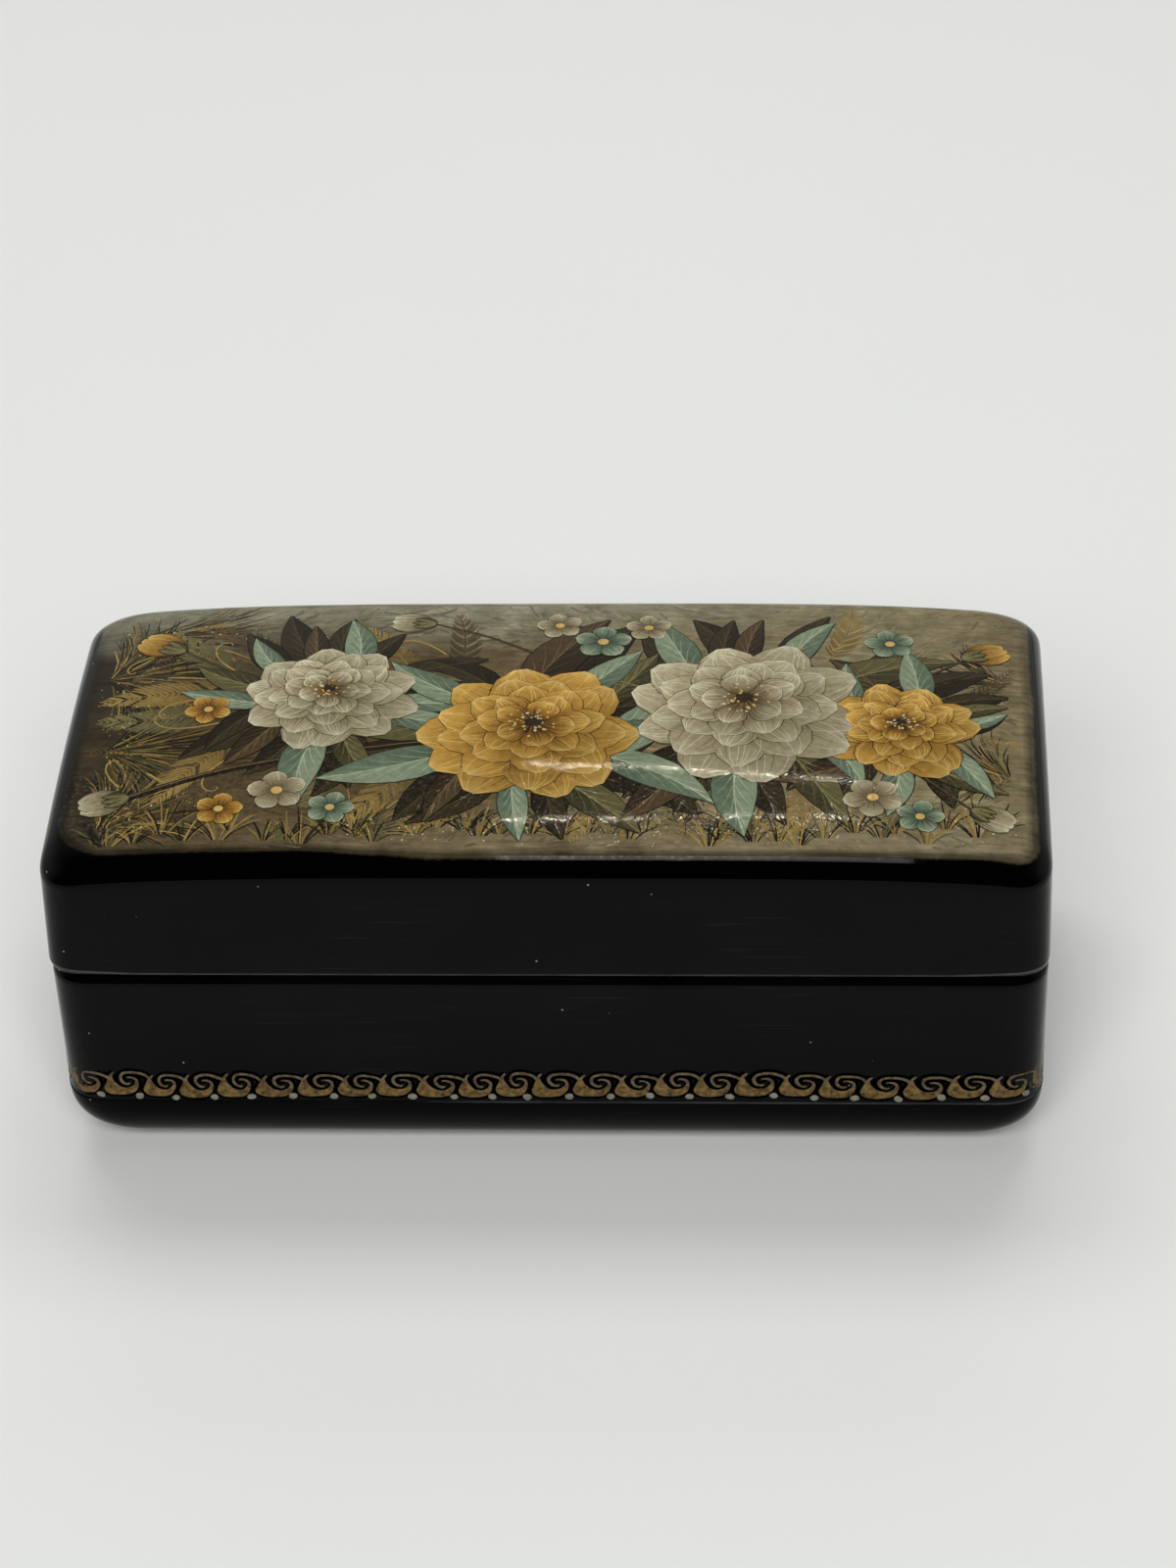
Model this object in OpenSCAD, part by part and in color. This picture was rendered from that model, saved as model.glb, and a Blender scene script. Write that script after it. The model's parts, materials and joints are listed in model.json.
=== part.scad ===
// Lacquered papier-mache keepsake box with a hinged, softly domed lid.
// Millimetres. X runs along the box, Y from front to back and Z up.
// The origin is the middle of the flat underside.

/* [Box] */
// Length of the box along its front
box_l = 108; // [90:1:140]
// Depth of the box from front to back
box_d = 51; // [42:1:70]
// Rounding of the upright corners, seen from above
corner_r = 4.4; // [2.4:0.1:7]
// Rounding of the upright corners inside the walls
inner_corner_r = 1.6; // [1.4:0.1:3]
// Thickness of the wound walls of the base
wall_t = 3.6; // [3.2:0.1:5]

/* [Base] */
// Height of the base, from the table to the seam
base_h = 26; // [22:0.2:40]
// Thickness of the bottom under the cavity
bottom_t = 4; // [3:0.1:6]
// Radius that the walls turn under with at the bottom
bottom_round = 8; // [5:0.1:9]
// How much the corners open out, per millimetre of turn-under
bottom_corner_growth = 0.35; // [0:0.05:0.6]
// Straight stretch of the bottom tray above its turn-under
tray_land = 0.4; // [0.2:0.1:2]
// Rounding of the outer top edge of the base
base_rim_r = 1.2; // [0.4:0.1:1.2]

/* [Lip] */
// How far the inner lip stands above the seam
lip_h = 2.2; // [1:0.1:4]
// Thickness of the lip frame
lip_t = 1.2; // [0.8:0.1:2]
// Thickness of the glue line round the lip frame
glue_t = 0.05; // [0.02:0.01:0.1]
// Clearance between the lip and the inside of the lid
lip_gap = 0.3; // [0.2:0.05:0.6]

/* [Lid] */
// Height of the lid, from the seam to its crown
lid_h = 16; // [13:0.2:24]
// Thickness of the lid panel at its crown
lid_panel_t = 3.6; // [3.2:0.1:5]
// Radius of the roll-over round the top of the lid
lid_round = 2.5; // [1.5:0.1:3.5]
// Corner radius of the top of the lid, inside the roll-over
lid_top_corner_r = 7; // [5:0.1:10]
// Drop of the crown towards the two ends
end_drop = 1.4; // [0.6:0.1:2]
// Drop of the crown towards the front and back
side_drop = 1.1; // [0.4:0.1:2]
// Straight stretch of the panel's edge under the roll-over
panel_land = 0.2; // [0.1:0.1:1]
// Rounding of the outer bottom edge of the lid
lid_rim_r = 0.4; // [0.2:0.1:1]

/* [Hinges] */
// Distance from each end of the box to the middle of the nearest hinge
hinge_inset = 24; // [18:1:32]
// Length of each hinge
hinge_l = 16; // [12:0.5:20]
// Outer radius of the hinge knuckles
knuckle_r = 1.25; // [1.1:0.05:1.4]
// Gap between neighbouring knuckles, and round them
knuckle_gap = 0.15; // [0.1:0.01:0.3]
// Radius of the hinge pin
pin_r = 0.55; // [0.4:0.05:0.7]
// Running clearance of the pin in its knuckles
pin_clear = 0.05; // [0.02:0.01:0.09]
// Radius of the peened ends of the pin
pin_head_r = 0.9; // [0.8:0.05:1.05]
// Thickness of the peened ends of the pin
pin_head_t = 0.35; // [0.2:0.05:0.6]
// Thickness of the hinge leaves
leaf_t = 0.6; // [0.4:0.05:0.9]
// Reach of a leaf into the wall, from the hinge axis
leaf_reach = 6.5; // [5.5:0.1:8]
// Clearance of a leaf in its saw cut
slot_clear = 0.05; // [0.02:0.01:0.1]
// Widest angle that the lid opens to
open_angle = 98; // [92:1:110]
// Angle left between the bevels when the lid is wide open
stop_spare = 2; // [1:0.5:4]

/* [Rivets] */
// Radius of the brass rivets that hold the leaves
rivet_r = 0.6; // [0.4:0.05:0.8]
// Length of a rivet, inwards from the back face
rivet_l = 2.8; // [2:0.1:3]
// Distance of a rivet from the end of its leaf
rivet_end = 3; // [2:0.1:4]
// Distance of a rivet from the hinge axis
rivet_drop = 4.2; // [3:0.1:4.5]
// Clearance of a rivet in its hole
rivet_clear = 0.03; // [0.02:0.01:0.06]

/* [Hidden] */

lacquer_black = "#101011";
lacquer_red = "#8c1d14";
brass = "#b18d45";

LEFT = -1;
RIGHT = 1;
BASE = -1;
LID = 1;

// Heights of the joints between the pieces.
seam_z = base_h;
tray_z = bottom_round + tray_land;
crown_z = seam_z + lid_h;
panel_z = crown_z - end_drop - side_drop - lid_round - panel_land;
ceiling_z = crown_z - lid_panel_t;

// The lid is thinner than the base by the lip's clearance.
lid_wall_t = wall_t - lip_gap;

// The knuckles lie flush with the back face, on the seam.
flush_gap = 0.05;
hinge_x = box_l / 2 - hinge_inset;
axis_y = box_d / 2 - knuckle_r - flush_gap;
axis_z = seam_z;
knuckle_l = (hinge_l - 2 * knuckle_gap) / 3;
bevel_angle = (open_angle + stop_spare) / 2;

// Fineness of the faceted forms, and how far cuts run past a face.
turn_steps = 9;
corner_steps = 8;
dome_steps = 8;
end_drop_power = 4;
past = 1;
slice_t = 0.01;
$fn = 48;

// A rounded rectangle, centred.
module plan(l, d, r) {
    square([l - 2 * r, d], center = true);
    square([l, d - 2 * r], center = true);
    for (x = [-1, 1], y = [-1, 1])
        translate([x * (l / 2 - r), y * (d / 2 - r)]) circle(r);
}

// An upright section w wide and h high, with rounded corners at its top and bottom.
module section(w, h, top_r, bottom_r) {
    translate([-w / 2, bottom_r]) square([w, h - top_r - bottom_r]);
    translate([-w / 2 + top_r, h / 2]) square([w - 2 * top_r, h / 2]);
    translate([-w / 2 + bottom_r, 0]) square([w - 2 * bottom_r, h / 2]);
    for (x = [-1, 1]) {
        translate([x * (w / 2 - top_r), h - top_r]) circle(top_r);
        translate([x * (w / 2 - bottom_r), bottom_r]) circle(bottom_r);
    }
}

// A block with round upright corners and softened outer edges, standing on z = 0.
module soft_block(l, d, h, r, top_r, bottom_r) {
    rotate([90, 0, 90])
        linear_extrude(l - 2 * r, center = true) section(d, h, top_r, bottom_r);
    rotate([90, 0, 0])
        linear_extrude(d - 2 * r, center = true) section(l, h, top_r, bottom_r);
    for (x = [-1, 1], y = [-1, 1])
        translate([x * (l / 2 - r), y * (d / 2 - r), 0])
            rotate_extrude()
                intersection() {
                    section(2 * r, h, top_r, bottom_r);
                    square([r, h]);
                }
}

// The hollow inside walls of thickness t, from z0 to z1.
module hollow(t, z0, z1) {
    translate([0, 0, z0])
        linear_extrude(z1 - z0) plan(box_l - 2 * t, box_d - 2 * t, inner_corner_r);
}

// A cylinder along the hinge axis, from x0 to x1.
module on_axis(x0, x1, r) {
    translate([x0, axis_y, axis_z]) rotate([0, 90, 0]) cylinder(h = x1 - x0, r = r);
}

// The bevel along the back edge that lets the lid swing, above the seam on the lid and below it on the base.
module back_bevel(part) {
    run = box_d / 2 - axis_y + past;
    translate([-box_l / 2 - past, axis_y, axis_z])
        rotate([90, 0, 90])
            linear_extrude(box_l + 2 * past)
                polygon([[0, 0], [run, 0], [run, part * run * tan(bevel_angle)]]);
}

// Rivets of one part, made larger by grow and longer by deeper.
module rivets(part, side, grow, deeper) {
    for (x = [-1, 1])
        translate([
            side * hinge_x + x * (hinge_l / 2 - rivet_end),
            box_d / 2 - rivet_l - deeper,
            axis_z + part * rivet_drop
        ])
            rotate([-90, 0, 0]) cylinder(h = rivet_l + 2 * deeper, r = rivet_r + grow);
}

// Saw cuts, barrel groove and rivet holes of the hinges in one part's back wall.
module hinge_seats(part) {
    barrel = hinge_l / 2 + pin_head_t + knuckle_gap;
    slot_l = hinge_l + 2 * slot_clear;
    slot_t = leaf_t + 2 * slot_clear;
    slot_h = leaf_reach + slot_clear;
    for (side = [LEFT, RIGHT]) {
        on_axis(side * hinge_x - barrel, side * hinge_x + barrel, knuckle_r + knuckle_gap);
        translate([side * hinge_x, axis_y, axis_z + part * slot_h / 2])
            cube([slot_l, slot_t, slot_h], center = true);
        rivets(part, side, rivet_clear, rivet_clear);
    }
}

// The pressed bottom: a shallow tray whose walls turn under.
module base_bottom() {
    color(lacquer_black)
        difference() {
            hull() {
                for (k = [0 : turn_steps]) {
                    turn = 90 * k / turn_steps;
                    inset = bottom_round * (1 - sin(turn));
                    r = corner_r + bottom_corner_growth * inset;
                    z = bottom_round * (1 - cos(turn));
                    translate([0, 0, z])
                        linear_extrude(k == turn_steps ? tray_z - z : slice_t)
                            plan(box_l - 2 * inset, box_d - 2 * inset, r);
                }
            }
            hollow(wall_t, bottom_t, tray_z + past);
        }
}

// The wound frame that makes the four walls of the base.
module base_wall() {
    color(lacquer_black)
        difference() {
            translate([0, 0, tray_z])
                soft_block(box_l, box_d, seam_z - tray_z, corner_r, base_rim_r, 0);
            hollow(wall_t, tray_z - past, seam_z + past);
            back_bevel(BASE);
            hinge_seats(BASE);
        }
}

// The thin inner frame that stands above the seam and guides the lid.
module base_lip() {
    lip_l = box_l - 2 * (wall_t + glue_t);
    lip_d = box_d - 2 * (wall_t + glue_t);
    color(lacquer_red)
        translate([0, 0, bottom_t + glue_t])
            linear_extrude(seam_z + lip_h - bottom_t - glue_t)
                difference() {
                    plan(lip_l, lip_d, inner_corner_r - glue_t);
                    plan(lip_l - 2 * lip_t, lip_d - 2 * lip_t, max(inner_corner_r - lip_t, glue_t));
                }
}

// The wound frame that makes the four walls of the lid.
module lid_wall() {
    color(lacquer_black)
        difference() {
            translate([0, 0, seam_z])
                soft_block(box_l, box_d, panel_z - seam_z, corner_r, 0, lid_rim_r);
            hollow(lid_wall_t, seam_z - past, panel_z + past);
            back_bevel(LID);
            hinge_seats(LID);
        }
}

// Points round a rounded rectangle, anticlockwise from above.
function plan_points(l, d, r) = [
    for (q = [0 : 3], i = [0 : corner_steps])
        let (
            turn = 90 * (q + i / corner_steps),
            x = (q == 0 || q == 3) ? 1 : -1,
            y = q < 2 ? 1 : -1
        )
        [x * (l / 2 - r) + r * cos(turn), y * (d / 2 - r) + r * sin(turn)]
];

// How far the crown has dropped at a point of the lid.
function crown_drop(p) =
    end_drop * pow(abs(2 * p.x / box_l), end_drop_power) + side_drop * pow(2 * p.y / box_d, 2);

// One ring of the roll-over, from 0 at the wall to 90 on top.
function roll_ring(turn) =
    let (
        inset = lid_round * (1 - cos(turn)),
        r = corner_r + (lid_top_corner_r - corner_r) * (1 - cos(turn))
    )
    [
        for (p = plan_points(box_l - 2 * inset, box_d - 2 * inset, r))
            [p.x, p.y, crown_z - crown_drop(p) - lid_round * (1 - sin(turn))]
    ];

// One ring of the crown, drawn in towards the middle by a share of its size.
function crown_ring(share) = [
    for (p = roll_ring(90))
        let (q = [p.x, p.y] * share)
        [q.x, q.y, crown_z - crown_drop(q)]
];

// Triangles that join two neighbouring rings of n points, the lower one starting at point a.
function band(a, n) = [
    for (i = [0 : n - 1])
        let (j = (i + 1) % n)
        each [[a + i, a + n + i, a + n + j], [a + i, a + n + j, a + j]]
];

// The pressed and domed panel that closes the lid.
module lid_top() {
    foot = [for (p = plan_points(box_l, box_d, corner_r)) [p.x, p.y, panel_z]];
    rings = concat(
        [foot],
        [for (k = [0 : turn_steps]) roll_ring(90 * k / turn_steps)],
        [for (k = [1 : dome_steps - 1]) crown_ring(1 - k / dome_steps)]
    );
    n = len(foot);
    last = (len(rings) - 1) * n;
    crown = last + n;
    points = concat([for (ring = rings) each ring], [[0, 0, crown_z], [0, 0, panel_z]]);
    faces = concat(
        [for (k = [0 : len(rings) - 2]) each band(k * n, n)],
        [for (i = [0 : n - 1]) [last + i, crown, last + (i + 1) % n]],
        [for (i = [0 : n - 1]) [i, (i + 1) % n, crown + 1]]
    );
    color(lacquer_black)
        difference() {
            polyhedron(points, faces);
            if (ceiling_z > panel_z) hollow(lid_wall_t, panel_z - past, ceiling_z);
        }
}

// A hinge leaf in the base: a plate let into the wall, with a knuckle at each end.
module base_leaf(side) {
    x = side * hinge_x;
    half = hinge_l / 2;
    color(brass)
        difference() {
            union() {
                translate([x - half, axis_y - leaf_t / 2, axis_z - leaf_reach])
                    cube([hinge_l, leaf_t, leaf_reach]);
                on_axis(x - half, x - half + knuckle_l, knuckle_r);
                on_axis(x + half - knuckle_l, x + half, knuckle_r);
            }
            on_axis(x - half - past, x + half + past, pin_r + pin_clear);
            on_axis(x - half + knuckle_l, x + half - knuckle_l, knuckle_r + knuckle_gap);
            rivets(BASE, side, rivet_clear, past);
        }
}

// A hinge leaf in the lid, with one knuckle between those of the base.
module lid_leaf(side) {
    x = side * hinge_x;
    half = hinge_l / 2;
    color(brass)
        difference() {
            union() {
                translate([x - half, axis_y - leaf_t / 2, axis_z])
                    cube([hinge_l, leaf_t, leaf_reach]);
                on_axis(x - knuckle_l / 2, x + knuckle_l / 2, knuckle_r);
            }
            on_axis(x - half - past, x + half + past, pin_r + pin_clear);
            on_axis(x - half - past, x - knuckle_l / 2, knuckle_r + knuckle_gap);
            on_axis(x + knuckle_l / 2, x + half + past, knuckle_r + knuckle_gap);
            rivets(LID, side, rivet_clear, past);
        }
}

// The pin that the knuckles turn on, with its ends peened over.
module hinge_pin(side) {
    x = side * hinge_x;
    half = hinge_l / 2 + pin_clear;
    color(brass) {
        on_axis(x - half, x + half, pin_r);
        on_axis(x - half - pin_head_t, x - half, pin_head_r);
        on_axis(x + half, x + half + pin_head_t, pin_head_r);
    }
}

// The rivets that hold both leaves of one part.
module leaf_rivets(part) {
    color(brass)
        for (side = [LEFT, RIGHT]) rivets(part, side, 0, 0);
}

base_bottom();
base_wall();
base_lip();
lid_wall();
lid_top();
base_leaf(LEFT);  // left_base_leaf
base_leaf(RIGHT);  // right_base_leaf
lid_leaf(LEFT);  // left_lid_leaf
lid_leaf(RIGHT);  // right_lid_leaf
hinge_pin(LEFT);  // left_hinge_pin
hinge_pin(RIGHT);  // right_hinge_pin
leaf_rivets(BASE);  // base_rivets
leaf_rivets(LID);  // lid_rivets
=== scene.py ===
"""Looks of a lacquered keepsake box: black walls, a painted lid, a gold scroll border and brass hinges."""

import json
import math

import bmesh
import bpy
import numpy as np
from mathutils import Matrix, Vector


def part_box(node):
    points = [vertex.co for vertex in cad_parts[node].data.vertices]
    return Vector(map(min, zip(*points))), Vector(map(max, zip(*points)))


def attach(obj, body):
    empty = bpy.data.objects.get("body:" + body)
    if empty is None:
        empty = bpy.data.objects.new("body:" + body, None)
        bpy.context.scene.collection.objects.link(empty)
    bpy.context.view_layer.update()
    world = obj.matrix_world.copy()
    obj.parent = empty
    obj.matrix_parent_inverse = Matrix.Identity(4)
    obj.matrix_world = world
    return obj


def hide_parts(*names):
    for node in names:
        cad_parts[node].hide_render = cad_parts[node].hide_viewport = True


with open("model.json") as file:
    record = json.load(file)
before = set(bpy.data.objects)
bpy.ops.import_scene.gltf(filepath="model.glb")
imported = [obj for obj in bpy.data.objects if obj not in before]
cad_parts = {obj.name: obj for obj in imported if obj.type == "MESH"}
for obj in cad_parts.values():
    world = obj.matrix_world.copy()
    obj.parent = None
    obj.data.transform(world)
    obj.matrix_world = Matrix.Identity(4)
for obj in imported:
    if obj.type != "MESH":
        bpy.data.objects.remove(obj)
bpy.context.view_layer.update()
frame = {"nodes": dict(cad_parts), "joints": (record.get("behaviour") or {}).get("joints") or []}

MM = 0.001

# Sizes that the frame gives.
base_low, base_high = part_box("base_wall")
lip_low, lip_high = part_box("base_lip")
panel_low, panel_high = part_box("lid_top")
LENGTH = base_high.x - base_low.x
DEPTH = base_high.y - base_low.y
TRAY_TOP = base_low.z
SEAM = base_high.z
CAVITY_FLOOR = lip_low.z
LIP_TOP = lip_high.z
PANEL_FOOT = panel_low.z
CROWN = panel_high.z
LID_HINGE = Vector(frame["joints"][0]["pos_m"])
OPEN_ANGLE = frame["joints"][0]["range_deg"][1]

# Corners in plan: how far they reach along the sides, and how square they are.
CORNER_REACH = 5.6 * MM
LID_CORNER_REACH = 4.4 * MM
TOP_CORNER_REACH = 8 * MM
INNER_CORNER_REACH = 1.6 * MM
CORNER_POWER = 2.6

# Base: its rounded foot, its leaning wall, the ledge where they join, and the lip inside.
BOTTOM_ROUND = 8 * MM
BOTTOM_REACH = 7.4 * MM
BOTTOM_CORNER_GROWTH = 0.35
WALL = 3.6 * MM
BASE_LEAN = 0.45 * MM
BASE_RIM_ROUND = 1.75 * MM
TRAY_LEDGE = 0.06 * MM
LEDGE_SOFTENED = 0.3 * TRAY_LEDGE
LIP_WALL = 1.2 * MM
LIP_GAP = 0.05 * MM
SMALL_ROUND = 0.25 * MM

# Lid: its rim opens towards the corners, and its crown falls towards the ends and the sides.
LID_WALL = 3.3 * MM
LID_RIM_ROUND = 0.4 * MM
LID_RIM_OPENED = 0.9 * MM
LID_RIM_OPENS = (44 * MM, 53 * MM)
LID_ROUND = 2.5 * MM
CEILING_DROP = 3.6 * MM
END_DROP = 1.4 * MM
END_DROP_POWER = 4
BACK_END_DROP = 0.5 * MM
SIDE_DROP = 1.1 * MM
ROLL_FOOT = CROWN - SIDE_DROP - LID_ROUND

# Beds of the hinges. The bevels along the back would meet a little past the widest opening.
LEAF_THICK = 0.6 * MM
SAW_GAP = 0.05 * MM
GROOVE_GAP = 0.15 * MM
CUT_PAST = 1 * MM
STOP_SPARE = 2
BEVEL_SLOPE = math.tan(math.radians((OPEN_ANGLE + STOP_SPARE) / 2))

# Fineness of the meshes, and the two looks of a wall.
CORNER_STEPS = 14
SIDE_STEPS = 24
ROUND_STEPS = 8
CROWN_STEPS = 14
ROD_SEGMENTS = 40
WALL_SHARES = (0, 0.25, 0.5, 0.75, 0.9, 1)
LID_WALL_SHARES = (0.2, 0.5, 0.8, 1)
BLACK, RED = 0, 1


# Colours


def srgb(red, green, blue):
    """A colour given from 0 to 255, in linear light."""
    def linear(value):
        value /= 255
        return value / 12.92 if value <= 0.04045 else ((value + 0.055) / 1.055) ** 2.4
    return (linear(red), linear(green), linear(blue), 1.0)


PAINT_GAIN = 0.83


def paint(red, green, blue):
    """A paint's colour under the studio's light."""
    return np.array(srgb(red, green, blue)[:3]) * PAINT_GAIN


# Paints of the lid, each from its deepest tone to its palest.
OCHRE = [paint(84, 56, 22), paint(150, 108, 42), paint(186, 145, 66), paint(212, 178, 104)]
CREAM = [paint(96, 83, 57), paint(142, 130, 100), paint(173, 163, 131), paint(203, 196, 169)]
MINT = [paint(54, 68, 55), paint(102, 118, 96), paint(136, 150, 123), paint(168, 178, 150)]
OLIVE = [paint(36, 34, 22), paint(66, 62, 38), paint(98, 92, 58), paint(130, 122, 80)]
UMBER = [paint(30, 23, 15), paint(52, 41, 27), paint(80, 64, 42), paint(108, 90, 60)]
SHADE = [paint(26, 21, 13), paint(40, 34, 21), paint(56, 48, 30), paint(76, 66, 42)]
BRONZE = [paint(62, 48, 22), paint(100, 79, 38), paint(138, 112, 57), paint(170, 144, 82)]
GOLD_LINE = paint(176, 148, 82)
PALE_LINE = paint(214, 206, 172)

# The lid's ground: its tones from left to right, at places in millimetres,
# and the tones along its back and its front.
GROUND_PLACES = [-53, -32, -10, 14, 36, 53]
GROUND_TONES = np.array([
    paint(50, 43, 29), paint(88, 73, 47), paint(104, 89, 60),
    paint(132, 119, 88), paint(143, 134, 103), paint(124, 112, 83),
])
BACK_TONE = paint(150, 151, 130)
FRONT_TONE = paint(130, 121, 99)

# Lacquer, metal and border. A pair runs from thin to full, or from clean to stained.
LACQUER_BLACK = srgb(1, 1, 1.5)
LACQUER_HAZE = srgb(5, 5, 7)
HAIRLINE_COLOUR = srgb(22, 22, 25)
DUST_COLOUR = srgb(150, 148, 142)
# Painted highlights: the pale line along the lid's lower edge and above the foot, brighter towards the lid's
# ends.
EDGE_HIGHLIGHT_COLOUR = srgb(58, 58, 63)
EDGE_HIGHLIGHT_BRIGHT = srgb(80, 80, 84)
RED_TONES = (srgb(112, 20, 14), srgb(140, 28, 18))
BRASS_TONES = (srgb(188, 150, 78), srgb(120, 88, 40))
GOLD_BROAD = (srgb(50, 37, 18), srgb(126, 100, 55))
GOLD_SLIM = (srgb(54, 46, 33), srgb(106, 93, 70))
SILVER_BROAD = (srgb(104, 102, 90), srgb(134, 131, 118))
SILVER_SLIM = (srgb(100, 98, 88), srgb(128, 126, 114))
BORDER_BLACK = (srgb(1, 1, 0), srgb(4, 3, 2))

# Shades that a colour is multiplied by, where a pattern is dark and where it is light.
STREAK_SHADES = ((0.62, 0.6, 0.56, 1), (1.38, 1.36, 1.32, 1))
MOTTLE_SHADES = ((0.55, 0.52, 0.46, 1), (1.3, 1.3, 1.3, 1))
STROKE_SHADES = ((0.74, 0.72, 0.68, 1), (1.1, 1.1, 1.1, 1))


# Node trees


def put(tree, value, socket):
    """Links a socket to an input, or sets the input to a value."""
    if isinstance(value, bpy.types.NodeSocket):
        tree.links.new(value, socket)
    else:
        socket.default_value = value


def known(sockets, identifier):
    """The socket with an identifier, where several sockets of a node share a name."""
    return next(s for s in sockets if s.identifier == identifier)


def node(tree, kind, inputs=None, **settings):
    """Adds a node, sets it up, and links or sets its inputs by name or number."""
    made = tree.nodes.new(kind)
    for name, value in settings.items():
        setattr(made, name, value)
    for name, value in (inputs or {}).items():
        put(tree, value, made.inputs[name])
    return made


def math_node(tree, operation, *values):
    """The result of one sum on numbers or sockets."""
    return node(tree, "ShaderNodeMath", dict(enumerate(values)), operation=operation).outputs[0]


def plus(tree, first, second):
    """Two numbers added."""
    return math_node(tree, "ADD", first, second)


def minus(tree, first, second):
    """One number less another."""
    return math_node(tree, "SUBTRACT", first, second)


def times(tree, first, second):
    """Two numbers multiplied."""
    return math_node(tree, "MULTIPLY", first, second)


def apart(tree, first, second):
    """How far two numbers lie apart."""
    return math_node(tree, "ABSOLUTE", minus(tree, first, second))


def split(tree, vector):
    """The x, y and z of a vector."""
    return node(tree, "ShaderNodeSeparateXYZ", {0: vector}).outputs


def joined(tree, **parts):
    """A vector made of the parts that are given, with nothing for the others."""
    return node(tree, "ShaderNodeCombineXYZ", parts).outputs[0]


def drawn_out(tree, place, scale):
    """Places scaled along the axes, so that a pattern on them is drawn out where the scale is small."""
    return node(tree, "ShaderNodeMapping", {"Vector": place, "Scale": scale}).outputs[0]


def mixed(tree, share, first, second, blend="MIX"):
    """Two colours mixed by a share."""
    mix = node(tree, "ShaderNodeMix", data_type="RGBA", blend_type=blend, clamp_factor=True)
    for name, value in (("Factor_Float", share), ("A_Color", first), ("B_Color", second)):
        put(tree, value, known(mix.inputs, name))
    return known(mix.outputs, "Result_Color")


def shaded(tree, tone, share, shades):
    """A colour darkened and lightened by a pattern."""
    return mixed(tree, 1.0, tone, mixed(tree, share, *shades), "MULTIPLY")


def spread(tree, value, low, high, out_low=0.0, out_high=1.0, smooth=False):
    """A value stretched from one span to another, and held inside it."""
    kind = "SMOOTHSTEP" if smooth else "LINEAR"
    inputs = {0: value, 1: low, 2: high, 3: out_low, 4: out_high}
    return node(tree, "ShaderNodeMapRange", inputs, interpolation_type=kind).outputs[0]


def noise(tree, place, scale, detail=3.0, roughness=0.5):
    """A soft cloud of values round a half. Its scale is in waves a metre."""
    inputs = {"Vector": place, "Scale": scale, "Detail": detail, "Roughness": roughness}
    return node(tree, "ShaderNodeTexNoise", inputs).outputs[0]


def declare(tree, inputs):
    """Gives a node group its named inputs, each with its kind and its usual value."""
    for name, kind, value in inputs:
        made = tree.interface.new_socket(name, in_out="INPUT", socket_type=kind)
        if value is not None:
            made.default_value = value


def shader_group(name, output, inputs):
    """An empty shader node group with named inputs and one number as its output, and its inner ends."""
    group = bpy.data.node_groups.new(name, "ShaderNodeTree")
    declare(group, inputs)
    group.interface.new_socket(output, in_out="OUTPUT", socket_type="NodeSocketFloat")
    return group, group.nodes.new("NodeGroupInput").outputs, group.nodes.new("NodeGroupOutput").inputs[0]


# Effects that several materials share

WAVE_STRETCH = (0.45, 1.0, 1.0)
WAVE_SCALE = 90.0
PEEL_SCALE = 900.0
SPECK_SCALE = 1200.0
SPECK_EDGE = (0.15, 0.07)
# The painted highlight lines break up at this scale, and are full above this span.
HIGHLIGHT_BREAK_SCALE = 170.0
HIGHLIGHT_BREAK_SPAN = (0.36, 0.6)


def ripple_group():
    """Height of the hand-polished lacquer: broad waves left by the wound card, and a fine orange peel."""
    group, start, end = shader_group("lacquer ripple", "Height", [
        ("Place", "NodeSocketVector", None),
        ("Waves", "NodeSocketFloat", 1.0),
        ("Peel", "NodeSocketFloat", 1.0),
        ("Peel Scale", "NodeSocketFloat", PEEL_SCALE),
    ])
    waves = noise(group, drawn_out(group, start["Place"], WAVE_STRETCH), WAVE_SCALE, 2.0)
    peel = noise(group, start["Place"], start["Peel Scale"], 2.0)
    total = plus(group, times(group, waves, start["Waves"]), times(group, peel, start["Peel"]))
    group.links.new(total, end)
    return group


def dust_group():
    """Mask of the few dust specks that lie on the lacquer."""
    group, start, end = shader_group("dust specks", "Mask", [
        ("Place", "NodeSocketVector", None),
        ("Scale", "NodeSocketFloat", SPECK_SCALE),
        ("Share", "NodeSocketFloat", 0.01),
    ])
    cells = node(
        group, "ShaderNodeTexVoronoi",
        {"Vector": start["Place"], "Scale": start["Scale"], "Randomness": 1.0},
    ).outputs
    lot = node(group, "ShaderNodeSeparateColor", {0: cells["Color"]}).outputs[0]
    near = spread(group, cells["Distance"], *SPECK_EDGE)
    chosen = math_node(group, "LESS_THAN", lot, start["Share"])
    group.links.new(times(group, near, chosen), end)
    return group


def highlight_line_group():
    """Mask of a painted highlight line along an edge: a thin level band that comes and goes."""
    group, start, end = shader_group("rubbed edge", "Mask", [
        ("Place", "NodeSocketVector", None),
        ("Height", "NodeSocketFloat", 0.0),
        ("Half Width", "NodeSocketFloat", 0.1 * MM),
        ("Least", "NodeSocketFloat", 0.0),
    ])
    off = apart(group, split(group, start["Place"])[2], start["Height"])
    near = spread(group, off, start["Half Width"], 0.0, smooth=True)
    patchy = noise(group, start["Place"], HIGHLIGHT_BREAK_SCALE, 4.0, 0.65)
    kept = spread(group, patchy, *HIGHLIGHT_BREAK_SPAN, start["Least"], 1.0)
    group.links.new(times(group, near, kept), end)
    return group


RIPPLE = ripple_group()
DUST = dust_group()
# Mask of the painted highlight lines.
HIGHLIGHT_LINE = highlight_line_group()


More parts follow.
